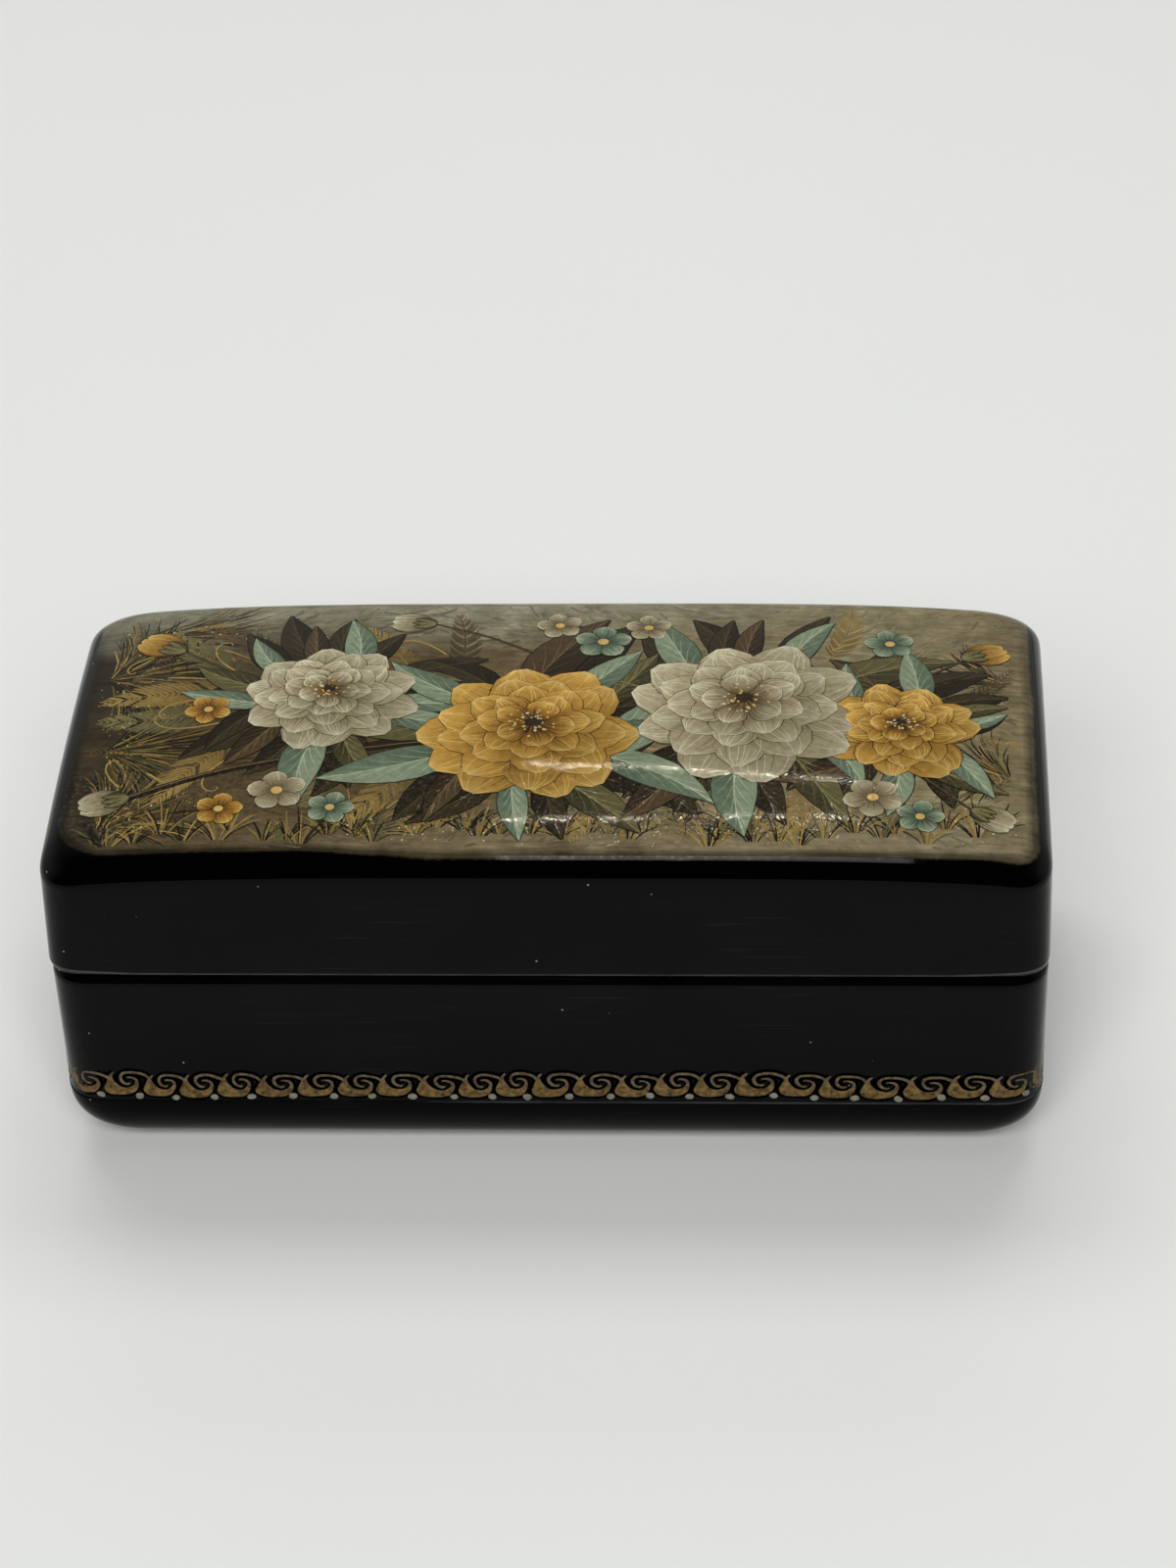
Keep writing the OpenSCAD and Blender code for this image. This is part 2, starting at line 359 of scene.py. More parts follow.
def grouped(tree, group, **inputs):
    """A node group placed in a material, with its inputs set or linked."""
    placed = node(tree, "ShaderNodeGroup", node_tree=group)
    for name, value in inputs.items():
        put(tree, value, placed.inputs[name.replace("_", " ").title()])
    return placed.outputs[0]


def add_ripple(tree, shader, place, waves, peel, distance, peel_scale=PEEL_SCALE):
    """Bends the light of a shader by the lacquer's ripple."""
    height = grouped(tree, RIPPLE, place=place, waves=waves, peel=peel, peel_scale=peel_scale)
    bump = node(tree, "ShaderNodeBump", {"Height": height, "Strength": 1.0, "Distance": distance})
    tree.links.new(bump.outputs[0], shader.inputs["Normal"])


def dusty(tree, place, tone, share):
    """A colour with a few dust specks on it."""
    return mixed(tree, grouped(tree, DUST, place=place, share=share), tone, DUST_COLOUR)


# Materials


def new_material(name, roughness, ior, metallic=0.0):
    """A material with its shader and the place that its patterns are laid out on."""
    material = bpy.data.materials.new(name)
    material.use_nodes = True
    tree = material.node_tree
    shader = tree.nodes["Principled BSDF"]
    shader.inputs["Roughness"].default_value = roughness
    shader.inputs["IOR"].default_value = ior
    shader.inputs["Metallic"].default_value = metallic
    place = node(tree, "ShaderNodeTexCoord").outputs["Object"]
    return material, tree, shader, place


# Black lacquer: the scales of its polish, and where painted highlight lines run along its edges.
LACQUER_IOR = 1.19
FOOT_IOR = 1.14
POLISH_STRETCH = (0.08, 1.0, 1.0)
POLISH_SCALE = 900.0
HAZE_SCALE = 70.0
HAIRLINE_STRETCH = (0.015, 1.0, 1.0)
HAIRLINE_SCALE = 5500.0
HAIRLINE_SPAN = (0.66, 0.74)
BLACK_ROUGHNESS = (0.04, 0.1)
BLACK_DUST = 0.012
# Painted highlight lines: one along the lid's lower edge, set higher towards its ends, and one along the
# ledge above the foot, fading out towards the left.
LID_EDGE_HEIGHTS = (SEAM + 0.3 * MM, SEAM + 0.75 * MM)
LID_EDGE_HALF = 0.24 * MM
PALE_ENDS = (38 * MM, 53 * MM)
JOINT_HEIGHT = TRAY_TOP - TRAY_LEDGE
JOINT_HALF = 0.17 * MM
LEDGE_HIGHLIGHT_FROM = (-16 * MM, -7 * MM)
HIGHLIGHT_LEAST = 0.5


def black_lacquer(name, index):
    """Polished black: faint streaks and hairlines from the polishing, painted highlight lines along its
    edges, and a little dust.
    """
    material, tree, shader, place = new_material(name, 0.08, index)
    worn = noise(tree, drawn_out(tree, place, POLISH_STRETCH), POLISH_SCALE, 3.0)
    cloud = noise(tree, place, HAZE_SCALE, 4.0)
    haze = times(tree, spread(tree, cloud, 0.35, 0.7), spread(tree, worn, 0.35, 0.65, 0.4, 1.0))
    tone = mixed(tree, haze, LACQUER_BLACK, LACQUER_HAZE)
    drawn = noise(tree, drawn_out(tree, place, HAIRLINE_STRETCH), HAIRLINE_SCALE, 1.0)
    hairs = times(tree, spread(tree, drawn, *HAIRLINE_SPAN), spread(tree, cloud, 0.5, 0.62))
    tone = mixed(tree, hairs, tone, HAIRLINE_COLOUR)
    x = split(tree, place)[0]
    across = math_node(tree, "ABSOLUTE", x)
    # Painted highlight along the lid's lower edge, paler near its ends, and along the ledge above the foot.
    height = spread(tree, across, *LID_RIM_OPENS, *LID_EDGE_HEIGHTS)
    lid_edge_highlight = grouped(tree, HIGHLIGHT_LINE, place=place, height=height, half_width=LID_EDGE_HALF, least=HIGHLIGHT_LEAST)
    pale = mixed(tree, spread(tree, across, *PALE_ENDS), EDGE_HIGHLIGHT_COLOUR, EDGE_HIGHLIGHT_BRIGHT)
    tone = mixed(tree, lid_edge_highlight, tone, pale)
    ledge_highlight = grouped(tree, HIGHLIGHT_LINE, place=place, height=JOINT_HEIGHT, half_width=JOINT_HALF, least=HIGHLIGHT_LEAST)
    ledge_highlight = times(tree, ledge_highlight, spread(tree, x, *LEDGE_HIGHLIGHT_FROM))
    tone = mixed(tree, ledge_highlight, tone, EDGE_HIGHLIGHT_COLOUR)
    tree.links.new(dusty(tree, place, tone, BLACK_DUST), shader.inputs["Base Color"])
    tree.links.new(spread(tree, worn, 0.3, 0.75, *BLACK_ROUGHNESS), shader.inputs["Roughness"])
    add_ripple(tree, shader, place, 1.0, 0.01, 0.15 * MM)
    return material


# The painted field on the lid: half its length and depth, its middle, and the reach of its corners.
PAINTED_HALF = (52.4 * MM, 24.5 * MM)
PAINTED_MIDDLE = (0.1 * MM, 0.5 * MM)
PAINTED_CORNER = 3 * MM
# The front left corner is rounder: by how much, and between which places it grows so.
LEFT_CORNER_GROWTH = 3.5 * MM
LEFT_CORNER_GROWS = (-30 * MM, -44 * MM)
# Towards its two ends the painted field stops short of the front: from where, to where, and by how much.
PAINTED_SHORT = [(-12 * MM, -26 * MM, 1.1 * MM), (20 * MM, 46 * MM, 0.6 * MM)]
FRONT_HALF = (5 * MM, -5 * MM)
# The brushed edge: the scales and the depth of its wandering, where it ends,
# where the paint is at its full, and how thin it is at least, at the back and at the front.
EDGE_SCALES = (160.0, 1300.0)
EDGE_WANDER = 0.35 * MM
EDGE_ENDS = (0.55 * MM, 0.15 * MM)
EDGE_FILLS = (-0.1 * MM, -1.0 * MM)
EDGE_LEAST = (0.6, 0.3)


def painted_edge(tree, place):
    """Mask of the painted field on the lid: a rounded oblong with a brushed edge, thinner along the front."""
    x, y, _ = split(tree, place)
    front = spread(tree, y, *FRONT_HALF)
    short = plus(tree, *[spread(tree, x, first, last, 0.0, most) for first, last, most in PAINTED_SHORT])
    spot = x, minus(tree, y, times(tree, front, short))
    left = times(tree, front, spread(tree, x, *LEFT_CORNER_GROWS, 0.0, LEFT_CORNER_GROWTH))
    corner = plus(tree, left, PAINTED_CORNER)
    past = []
    for here, middle, half in zip(spot, PAINTED_MIDDLE, PAINTED_HALF):
        past.append(plus(tree, minus(tree, apart(tree, here, middle), half), corner))
    outer = [math_node(tree, "MAXIMUM", p, 0.0) for p in past]
    far = math_node(tree, "SQRT", plus(tree, *[times(tree, p, p) for p in outer]))
    inner = math_node(tree, "MINIMUM", math_node(tree, "MAXIMUM", *past), 0.0)
    edge = minus(tree, plus(tree, far, inner), corner)
    ragged = plus(tree, *[noise(tree, place, scale, 2.0) for scale in EDGE_SCALES])
    edge = plus(tree, edge, times(tree, ragged, EDGE_WANDER))
    least = spread(tree, front, 0.0, 1.0, *EDGE_LEAST)
    return times(tree, spread(tree, edge, *EDGE_ENDS), spread(tree, edge, *EDGE_FILLS, least, 1.0))


# The brushed ground: how far its tones wander, where its back and its front begin,
# and the scales of its strokes.
GROUND_CLOUDS = 55.0
GROUND_WANDER = 50 * MM
GROUND_BACK = (12 * MM, 22 * MM)
GROUND_FRONT = (-13 * MM, -23 * MM)
BRUSH_STRETCH = (0.12, 1.0, 1.0)
BRUSH_SCALE = 1500.0
MOTTLE_SCALE = 260.0


def painted_ground(tree, place):
    """Colour of the brushed ground: brown at the left, khaki at the right, sage at the back and front."""
    x, y, _ = split(tree, place)
    cloud = noise(tree, place, GROUND_CLOUDS, 5.0, 0.6)
    wander = times(tree, minus(tree, cloud, 0.5), GROUND_WANDER)
    first, last = GROUND_PLACES[0], GROUND_PLACES[-1]
    ramp = node(tree, "ShaderNodeValToRGB", {0: spread(tree, plus(tree, x, wander), first * MM, last * MM)})
    stops = ramp.color_ramp.elements
    for spot in GROUND_PLACES[1:-1]:
        stops.new((spot - first) / (last - first))
    for stop, tone in zip(stops, GROUND_TONES):
        stop.color = (*tone, 1)
    height = plus(tree, y, times(tree, wander, 0.25))
    back = times(tree, spread(tree, height, *GROUND_BACK), spread(tree, x, 40 * MM, 0.0, 0.0, 0.8))
    tone = mixed(tree, back, ramp.outputs[0], (*BACK_TONE, 1))
    front = times(tree, spread(tree, height, *GROUND_FRONT), spread(tree, x, -40 * MM, 0.0, 0.2, 0.7))
    tone = mixed(tree, front, tone, (*FRONT_TONE, 1))
    streaks = noise(tree, drawn_out(tree, place, BRUSH_STRETCH), BRUSH_SCALE, 4.0, 0.6)
    tone = shaded(tree, tone, spread(tree, streaks, 0.25, 0.75), STREAK_SHADES)
    mottle = noise(tree, place, MOTTLE_SCALE, 5.0, 0.65)
    return shaded(tree, tone, spread(tree, mottle, 0.3, 0.7), MOTTLE_SHADES)


# Clear lacquer: its roughness and its peel, and the grains that begin some way towards the front.
CLEAR_ROUGHNESS = (0.02, 0.045)
CLEAR_PEEL_SCALE = 1700.0
GRAIN_SCALE = 2400.0
GRAIN_SPAN = (0.56, 0.66)
GRAINS_BEGIN = (-6 * MM, -11 * MM)
GRAIN_ROUGHNESS = 0.03
GRAIN_IOR = 1.5


def polished(tree, shader, place, painted=1.0):
    """The clear lacquer over the painting: nearly a mirror.
    Towards the front it has brighter grains, which break thin lights into sparks."""
    dull = noise(tree, place, POLISH_SCALE, 3.0)
    tree.links.new(spread(tree, dull, 0.3, 0.75, *CLEAR_ROUGHNESS), shader.inputs["Roughness"])
    grains = spread(tree, noise(tree, place, GRAIN_SCALE, 0.0), *GRAIN_SPAN)
    front = times(tree, spread(tree, split(tree, place)[1], *GRAINS_BEGIN), painted)
    tree.links.new(times(tree, grains, front), shader.inputs["Coat Weight"])
    shader.inputs["Coat Roughness"].default_value = GRAIN_ROUGHNESS
    shader.inputs["Coat IOR"].default_value = GRAIN_IOR
    add_ripple(tree, shader, place, 1.0, 0.07, 0.02 * MM, CLEAR_PEEL_SCALE)


# Dust gathers along the foot of the lid's roll: how near it,
# and the share of specks far from it and close to it.
ROLL_DUST_NEAR = (0.5 * MM, 0.1 * MM)
ROLL_DUST = (0.003, 0.05)


def painted_lacquer():
    """The lid's top: black lacquer with the painted field on it, all under clear lacquer."""
    material, tree, shader, place = new_material("painted lacquer", 0.12, LACQUER_IOR)
    painted = painted_edge(tree, place)
    tone = mixed(tree, painted, LACQUER_BLACK, painted_ground(tree, place))
    off = apart(tree, split(tree, place)[2], ROLL_FOOT)
    share = spread(tree, off, *ROLL_DUST_NEAR, *ROLL_DUST)
    tree.links.new(dusty(tree, place, tone, share), shader.inputs["Base Color"])
    polished(tree, shader, place, painted)
    return material


RED_IOR = 1.45
RED_CLOUDS = 120.0
RED_ROUGHNESS = (0.16, 0.3)
RED_DUST = 0.006


def red_lacquer():
    """The red of the inside: a little cloudy, and less polished than the black."""
    material, tree, shader, place = new_material("red lacquer", 0.2, RED_IOR)
    cloud = noise(tree, place, RED_CLOUDS, 5.0)
    tone = mixed(tree, spread(tree, cloud, 0.3, 0.7), *RED_TONES)
    tree.links.new(dusty(tree, place, tone, RED_DUST), shader.inputs["Base Color"])
    tree.links.new(spread(tree, cloud, 0.2, 0.8, *RED_ROUGHNESS), shader.inputs["Roughness"])
    add_ripple(tree, shader, place, 1.0, 0.1, 0.2 * MM)
    return material


BRASS_STAINS = 500.0
BRASS_ROUGHNESS = (0.22, 0.5)


def hinge_brass():
    """Aged brass: stained brown in places, and duller there."""
    material, tree, shader, place = new_material("aged brass", 0.3, 1.45, 1.0)
    stain = noise(tree, place, BRASS_STAINS, 5.0)
    tree.links.new(mixed(tree, spread(tree, stain, 0.35, 0.7), *BRASS_TONES), shader.inputs["Base Color"])
    tree.links.new(spread(tree, stain, 0.3, 0.7, *BRASS_ROUGHNESS), shader.inputs["Roughness"])
    add_ripple(tree, shader, place, 0.2, 0.3, 0.05 * MM)
    return material


BLACK_LACQUER = black_lacquer("black lacquer", LACQUER_IOR)
FOOT_LACQUER = black_lacquer("black lacquer of the foot", FOOT_IOR)
RED_LACQUER = red_lacquer()
PAINTED_LACQUER = painted_lacquer()
HINGE_BRASS = hinge_brass()


# Walls, lid and lip


def outline(length, depth, reach, power=CORNER_POWER):
    """Points round the plan of the box, anticlockwise from the back of the right-hand end."""
    turn = np.linspace(0, math.pi / 2, CORNER_STEPS + 1)
    arc = np.column_stack([np.cos(turn), np.sin(turn)]) ** (2 / power) * reach
    arc[0, 1] = arc[-1, 0] = 0
    corners = []
    for x, y, turned in ((1, 1, (1, 0)), (-1, 1, (0, 1)), (-1, -1, (-1, 0)), (1, -1, (0, -1))):
        c, s = turned
        corner = np.column_stack([arc[:, 0] * c - arc[:, 1] * s, arc[:, 0] * s + arc[:, 1] * c])
        corners.append(corner + np.array([x * (length / 2 - reach), y * (depth / 2 - reach)]))
    points = []
    for here, there in zip(corners, corners[1:] + corners[:1]):
        points += [here, np.linspace(here[-1], there[0], SIDE_STEPS + 1)[1:-1]]
    return np.vstack(points)


def ring(inset, z, reach=CORNER_REACH):
    """One level ring of the box's outside, set in from its sides."""
    flat = outline(LENGTH - 2 * inset, DEPTH - 2 * inset, reach)
    return np.column_stack([flat, np.full(len(flat), z)])


def inner_ring(inset, z):
    """One level ring of the box's inside."""
    return ring(inset, z, INNER_CORNER_REACH)


def quarter(steps=ROUND_STEPS):
    """Turns from 0 to 90 degrees, in radians."""
    return np.linspace(0, math.pi / 2, steps + 1)


def loft(name, rings, bands, looks, closed=False):
    """A mesh skinned over rings. bands gives the look of each step between two rings.
    A closed loft joins its last ring to its first, and an open one is capped at both ends."""
    n = len(rings[0])
    points = np.vstack(rings)
    pairs = list(zip(range(len(rings)), list(range(1, len(rings))) + [0]))
    if not closed:
        pairs.pop()
    faces, slots = [], []
    for (low, high), band in zip(pairs, bands):
        for i in range(n):
            j = (i + 1) % n
            faces.append((low * n + i, low * n + j, high * n + j, high * n + i))
            slots.append(band)
    if not closed:
        first, last = len(points), len(points) + 1
        points = np.vstack([points, rings[0].mean(0), rings[-1].mean(0)])
        top = (len(rings) - 1) * n
        for i in range(n):
            j = (i + 1) % n
            faces += [(j, i, first), (top + i, top + j, last)]
            slots += [bands[0], bands[-1]]
    mesh = bpy.data.meshes.new(name)
    mesh.from_pydata(points.tolist(), [], faces)
    for look in looks:
        mesh.materials.append(look)
    mesh.polygons.foreach_set("material_index", slots)
    return smoothed(mesh)


def smoothed(mesh, sharp=40):
    """Shades a mesh smooth, apart from its sharp edges."""
    mesh.polygons.foreach_set("use_smooth", [True] * len(mesh.polygons))
    mesh.set_sharp_from_angle(angle=math.radians(sharp))
    return mesh


def in_scene(name, data):
    """A new object in the scene."""
    made = bpy.data.objects.new(name, data)
    bpy.context.scene.collection.objects.link(made)
    return made


def plain(host):
    """The mesh that an object's modifiers make. The object itself is taken away."""
    graph = bpy.context.evaluated_depsgraph_get()
    mesh = bpy.data.meshes.new_from_object(host.evaluated_get(graph))
    bpy.data.objects.remove(host)
    return mesh


def settled(mesh, kind, **settings):
    """A mesh with one modifier applied to it."""
    host = in_scene(mesh.name, mesh)
    modifier = host.modifiers.new(kind, kind)
    for name, value in settings.items():
        setattr(modifier, name, value)
    return plain(host)


def worked(name, work):
    """A mesh with the shape that was worked out for it."""
    mesh = bpy.data.meshes.new(name)
    work.to_mesh(mesh)
    work.free()
    return mesh


def add_piece(name, mesh, body, replaced=()):
    """Puts a finished mesh into the scene as a piece that rides on a body."""
    piece = in_scene(name, mesh)
    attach(piece, body)
    if replaced:
        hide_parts(*replaced)
    return piece


def base_inset(z):
    """How far the base's walls lean in at a height."""
    return BASE_LEAN * (1 - z / SEAM)


def below_bevel(rings):
    """Rings of the base cut down by the bevel along its back edge."""
    for points in rings:
        behind = np.maximum(points[:, 1] - LID_HINGE.y, 0)
        points[:, 2] = np.minimum(points[:, 2], SEAM - behind * BEVEL_SLOPE)
    return rings


def above_bevel(rings):
    """Rings of the lid cut away by the bevel along its back edge."""
    for points in rings:
        behind = np.maximum(points[:, 1] - LID_HINGE.y, 0)
        points[:, 2] = np.maximum(points[:, 2], SEAM + behind * BEVEL_SLOPE)
    return rings


def block(low, high):
    """A plain block between two corners, to cut with."""
    work = bmesh.new()
    bmesh.ops.create_cube(work, size=1)
    for vert in work.verts:
        vert.co = [low[i] + (vert.co[i] + 0.5) * (high[i] - low[i]) for i in range(3)]
    return worked("block", work)


def rod(x_low, x_high, y, z, radius):
    """A plain rod along the box, to cut with."""
    work = bmesh.new()
    lie = Matrix.Translation(((x_low + x_high) / 2, y, z)) @ Matrix.Rotation(math.pi / 2, 4, "Y")
    bmesh.ops.create_cone(
        work, cap_ends=True, segments=ROD_SEGMENTS, radius1=radius, radius2=radius,
        depth=x_high - x_low, matrix=lie,
    )
    return worked("rod", work)


def carved(mesh, body):
    """A wall with the beds of its two hinges cut out: a groove for the barrel and a saw cut for the leaf."""
    for side in ("left", "right"):
        low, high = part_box(f"{side}_{body}_leaf")
        pin_low, pin_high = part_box(f"{side}_hinge_pin")
        half = LEAF_THICK / 2 + SAW_GAP
        if body == "base":
            bottom, top = low.z - SAW_GAP, SEAM + CUT_PAST
        else:
            bottom, top = SEAM - CUT_PAST, high.z + SAW_GAP
        saw_cut = block(
            (low.x - SAW_GAP, LID_HINGE.y - half, bottom),
            (high.x + SAW_GAP, LID_HINGE.y + half, top),
        )
        groove = rod(
            pin_low.x - GROOVE_GAP, pin_high.x + GROOVE_GAP,
            LID_HINGE.y, LID_HINGE.z, high.y - LID_HINGE.y + GROOVE_GAP,
        )
        for cutter in (saw_cut, groove):
            tool = in_scene("cutter", cutter)
            mesh = settled(mesh, "BOOLEAN", operation="DIFFERENCE", solver="EXACT", object=tool)
            bpy.data.objects.remove(tool)
    return smoothed(mesh)


def base_bottom():
    """The pressed bottom: its walls turn under to a flat foot, and its inside is red."""
    rings = []
    for turn in quarter(2 * ROUND_STEPS):
        inset = BOTTOM_REACH * (1 - math.sin(turn))
        z = BOTTOM_ROUND * (1 - math.cos(turn))
        rings.append(ring(inset + base_inset(z), z, CORNER_REACH + BOTTOM_CORNER_GROWTH * inset))
    edge = base_inset(TRAY_TOP)
    rings.append(ring(edge, TRAY_TOP - TRAY_LEDGE))
    rings.append(ring(edge + LEDGE_SOFTENED, TRAY_TOP - LEDGE_SOFTENED))
    rings.append(ring(edge + TRAY_LEDGE, TRAY_TOP))
    outside = len(rings)
    rings.append(inner_ring(WALL, TRAY_TOP))
    rings.append(inner_ring(WALL, CAVITY_FLOOR))
    bands = [BLACK] * outside + [RED]
    mesh = loft("base_bottom", rings, bands, [FOOT_LACQUER, RED_LACQUER])
    add_piece("base_bottom_lacquer", mesh, "base", ["base_bottom"])


def base_wall():
    """The wound frame of the base, with a soft rim and a bevel along the back."""
    heights = [TRAY_TOP + share * (SEAM - BASE_RIM_ROUND - TRAY_TOP) for share in WALL_SHARES]
    rings = [ring(base_inset(z) + TRAY_LEDGE, z) for z in heights]
    for turn in quarter()[1:]:
        rings.append(ring(
            BASE_RIM_ROUND * (1 - math.cos(turn)) + TRAY_LEDGE,
            SEAM - BASE_RIM_ROUND * (1 - math.sin(turn)),
        ))
    rings.append(inner_ring(WALL, SEAM))
    rings.append(inner_ring(WALL, TRAY_TOP))
    bands = [BLACK] * (len(rings) - 2) + [RED, RED]
    mesh = loft("base_wall", below_bevel(rings), bands, [BLACK_LACQUER, RED_LACQUER], closed=True)
    add_piece("base_wall_lacquer", carved(mesh, "base"), "base", ["base_wall"])


def base_lip():
    """The thin red frame that stands above the seam, rounded along its top."""
    outer = WALL + LIP_GAP
    inner = outer + LIP_WALL
    rings = [inner_ring(outer, CAVITY_FLOOR)]
    for turn in quarter():
        rings.append(inner_ring(
            outer + SMALL_ROUND * (1 - math.cos(turn)), LIP_TOP - SMALL_ROUND * (1 - math.sin(turn)),
        ))
    for turn in quarter()[::-1]:
        rings.append(inner_ring(
            inner - SMALL_ROUND * (1 - math.cos(turn)), LIP_TOP - SMALL_ROUND * (1 - math.sin(turn)),
        ))
    rings.append(inner_ring(inner, CAVITY_FLOOR))
    mesh = loft("base_lip", rings, [0] * len(rings), [RED_LACQUER], closed=True)
    add_piece("base_lip_lacquer", mesh, "base", ["base_lip"])


def lid_wall():
    """The wound frame of the lid: black outside, red inside."""
    rings = []
    for turn in quarter():
        points = ring(LID_RIM_ROUND * (1 - math.sin(turn)), SEAM, LID_CORNER_REACH)
        tall = np.interp(np.abs(points[:, 0]), LID_RIM_OPENS, (LID_RIM_ROUND, LID_RIM_OPENED))
        points[:, 2] += tall * (1 - math.cos(turn))
        rings.append(points)
    for share in LID_WALL_SHARES:
        reach = LID_CORNER_REACH + (CORNER_REACH - LID_CORNER_REACH) * share
        rings.append(ring(0, SEAM + share * (PANEL_FOOT - SEAM), reach))
    outside = len(rings)
    rings.append(inner_ring(LID_WALL, PANEL_FOOT))
    for turn in quarter():
        rings.append(inner_ring(
            LID_WALL - SMALL_ROUND * (1 - math.cos(turn)), SEAM + SMALL_ROUND * (1 - math.sin(turn)),
        ))
    rings.append(ring(DEPTH / 2 - LID_HINGE.y, SEAM, LID_CORNER_REACH))
    bands = [BLACK] * outside + [RED] * (len(rings) - outside - 1) + [BLACK]
    mesh = loft("lid_wall", above_bevel(rings), bands, [BLACK_LACQUER, RED_LACQUER], closed=True)
    add_piece("lid_wall_lacquer", carved(mesh, "lid"), "lid", ["lid_wall"])


def crown_height(x, y):
    """Height of the lid's crown over a point of the plan. Its ends fall a little lower towards the back."""
    ends = np.abs(2 * x / LENGTH) ** END_DROP_POWER
    sides = (2 * y / DEPTH) ** 2
    behind = (0.5 + y / DEPTH) ** 2
    return CROWN - (END_DROP + BACK_END_DROP * behind) * ends - SIDE_DROP * sides


def lid_top():
    """The pressed, domed panel: it rolls over at its edges, and its underside is red."""
    rings = [
        inner_ring(LID_WALL, CROWN - CEILING_DROP),
        inner_ring(LID_WALL, PANEL_FOOT),
        ring(0, PANEL_FOOT),
    ]
    for turn in quarter(2 * ROUND_STEPS):
        rolled = 1 - math.cos(turn)
        points = ring(LID_ROUND * rolled, 0, CORNER_REACH + (TOP_CORNER_REACH - CORNER_REACH) * rolled)
        points[:, 2] = crown_height(points[:, 0], points[:, 1]) - LID_ROUND * (1 - math.sin(turn))
        rings.append(points)
    top_edge = rings[-1]
    for step in range(1, CROWN_STEPS):
        points = top_edge * (1 - step / CROWN_STEPS)
        points[:, 2] = crown_height(points[:, 0], points[:, 1])
        rings.append(points)
    bands = [RED, BLACK] + [BLACK] * (len(rings) - 3)
    mesh = loft("lid_top", rings, bands, [PAINTED_LACQUER, RED_LACQUER])
    return add_piece("lid_top_lacquer", mesh, "lid", ["lid_top"])


base_bottom()
base_wall()
base_lip()
lid_wall()
LID_TOP = lid_top()


# Brush strokes

RIBBON_FACETS = 2


class Strokes:
    """Brush strokes as lines of points. Each point has its half width, its colour and its layer."""

    def __init__(self):
        self.points, self.edges, self.halves, self.tints, self.layers = [], [], [], [], []

    def add(self, points, halves, tints=((0, 0, 0),), layer=0):
        """Adds one stroke. Half widths and colours are spread over its points. Sizes are in millimetres."""
        points = np.asarray(points, float)
        share = np.linspace(0, 1, len(points))
        tints = np.asarray(tints, float).reshape(-1, 3)
        halves = np.atleast_1d(np.asarray(halves, float))
        first = len(self.points)
        self.points += [(x * MM, y * MM, 0) for x, y in points]
        self.edges += [(first + i, first + i + 1) for i in range(len(points) - 1)]
        self.halves += list(np.interp(share, np.linspace(0, 1, len(halves)), halves) * MM)
        spread_tints = [np.interp(share, np.linspace(0, 1, len(tints)), tints[:, i]) for i in range(3)]
        self.tints += [(*tint, 1.0) for tint in np.column_stack(spread_tints)]
        self.layers += [layer] * len(points)

    def mesh(self, name):
        """The strokes as bare lines, with what their points carry."""
        mesh = bpy.data.meshes.new(name)
        mesh.from_pydata(self.points, self.edges, [])
        mesh.attributes.new("half_width", "FLOAT", "POINT").data.foreach_set("value", self.halves)
        mesh.attributes.new("layer", "FLOAT", "POINT").data.foreach_set("value", self.layers)
        mesh.attributes.new("tint", "FLOAT_COLOR", "POINT").data.foreach_set("color", np.ravel(self.tints))
        return mesh


def flowing(points, steps):
    """A smooth line through points that may carry more columns than x and y."""
    points = np.asarray(points, float)
    ends = np.vstack([2 * points[0] - points[1], points, 2 * points[-1] - points[-2]])
    line = []
    for i in range(len(points) - 1):
        a, b, c, d = ends[i : i + 4]
        for t in np.arange(steps) / steps:
            line.append(0.5 * (
                2 * b + (c - a) * t + (2 * a - 5 * b + 4 * c - d) * t**2 + (3 * b - a - 3 * c + d) * t**3
            ))
    return np.vstack([line, points[-1]])


def sideways(line):
    """Unit steps to the left of a line, at each of its points."""
    along = np.gradient(line, axis=0)
    along /= np.linalg.norm(along, axis=1)[:, None]
    return np.column_stack([-along[:, 1], along[:, 0]])


def geometry_tree(name, inputs):
    """An empty geometry tree with its named inputs, and its inner ends."""
    tree = bpy.data.node_groups.new(name, "GeometryNodeTree")
    declare(tree, [("Geometry", "NodeSocketGeometry", None), *inputs])
    tree.interface.new_socket("Geometry", in_out="OUTPUT", socket_type="NodeSocketGeometry")
    return tree, node(tree, "NodeGroupInput").outputs, node(tree, "NodeGroupOutput")


def vector_node(tree, operation, *values):
    """The result of one sum on vectors."""
    return node(tree, "ShaderNodeVectorMath", dict(enumerate(values)), operation=operation).outputs[0]


def scaled(tree, vector, factor):
    """A vector made longer or shorter."""
    return node(tree, "ShaderNodeVectorMath", {0: vector, "Scale": factor}, operation="SCALE").outputs[0]


def attribute(tree, name, kind="FLOAT"):
    """A value that the points of a stroke carry."""
    return node(tree, "GeometryNodeInputNamedAttribute", {"Name": name}, data_type=kind).outputs["Attribute"]


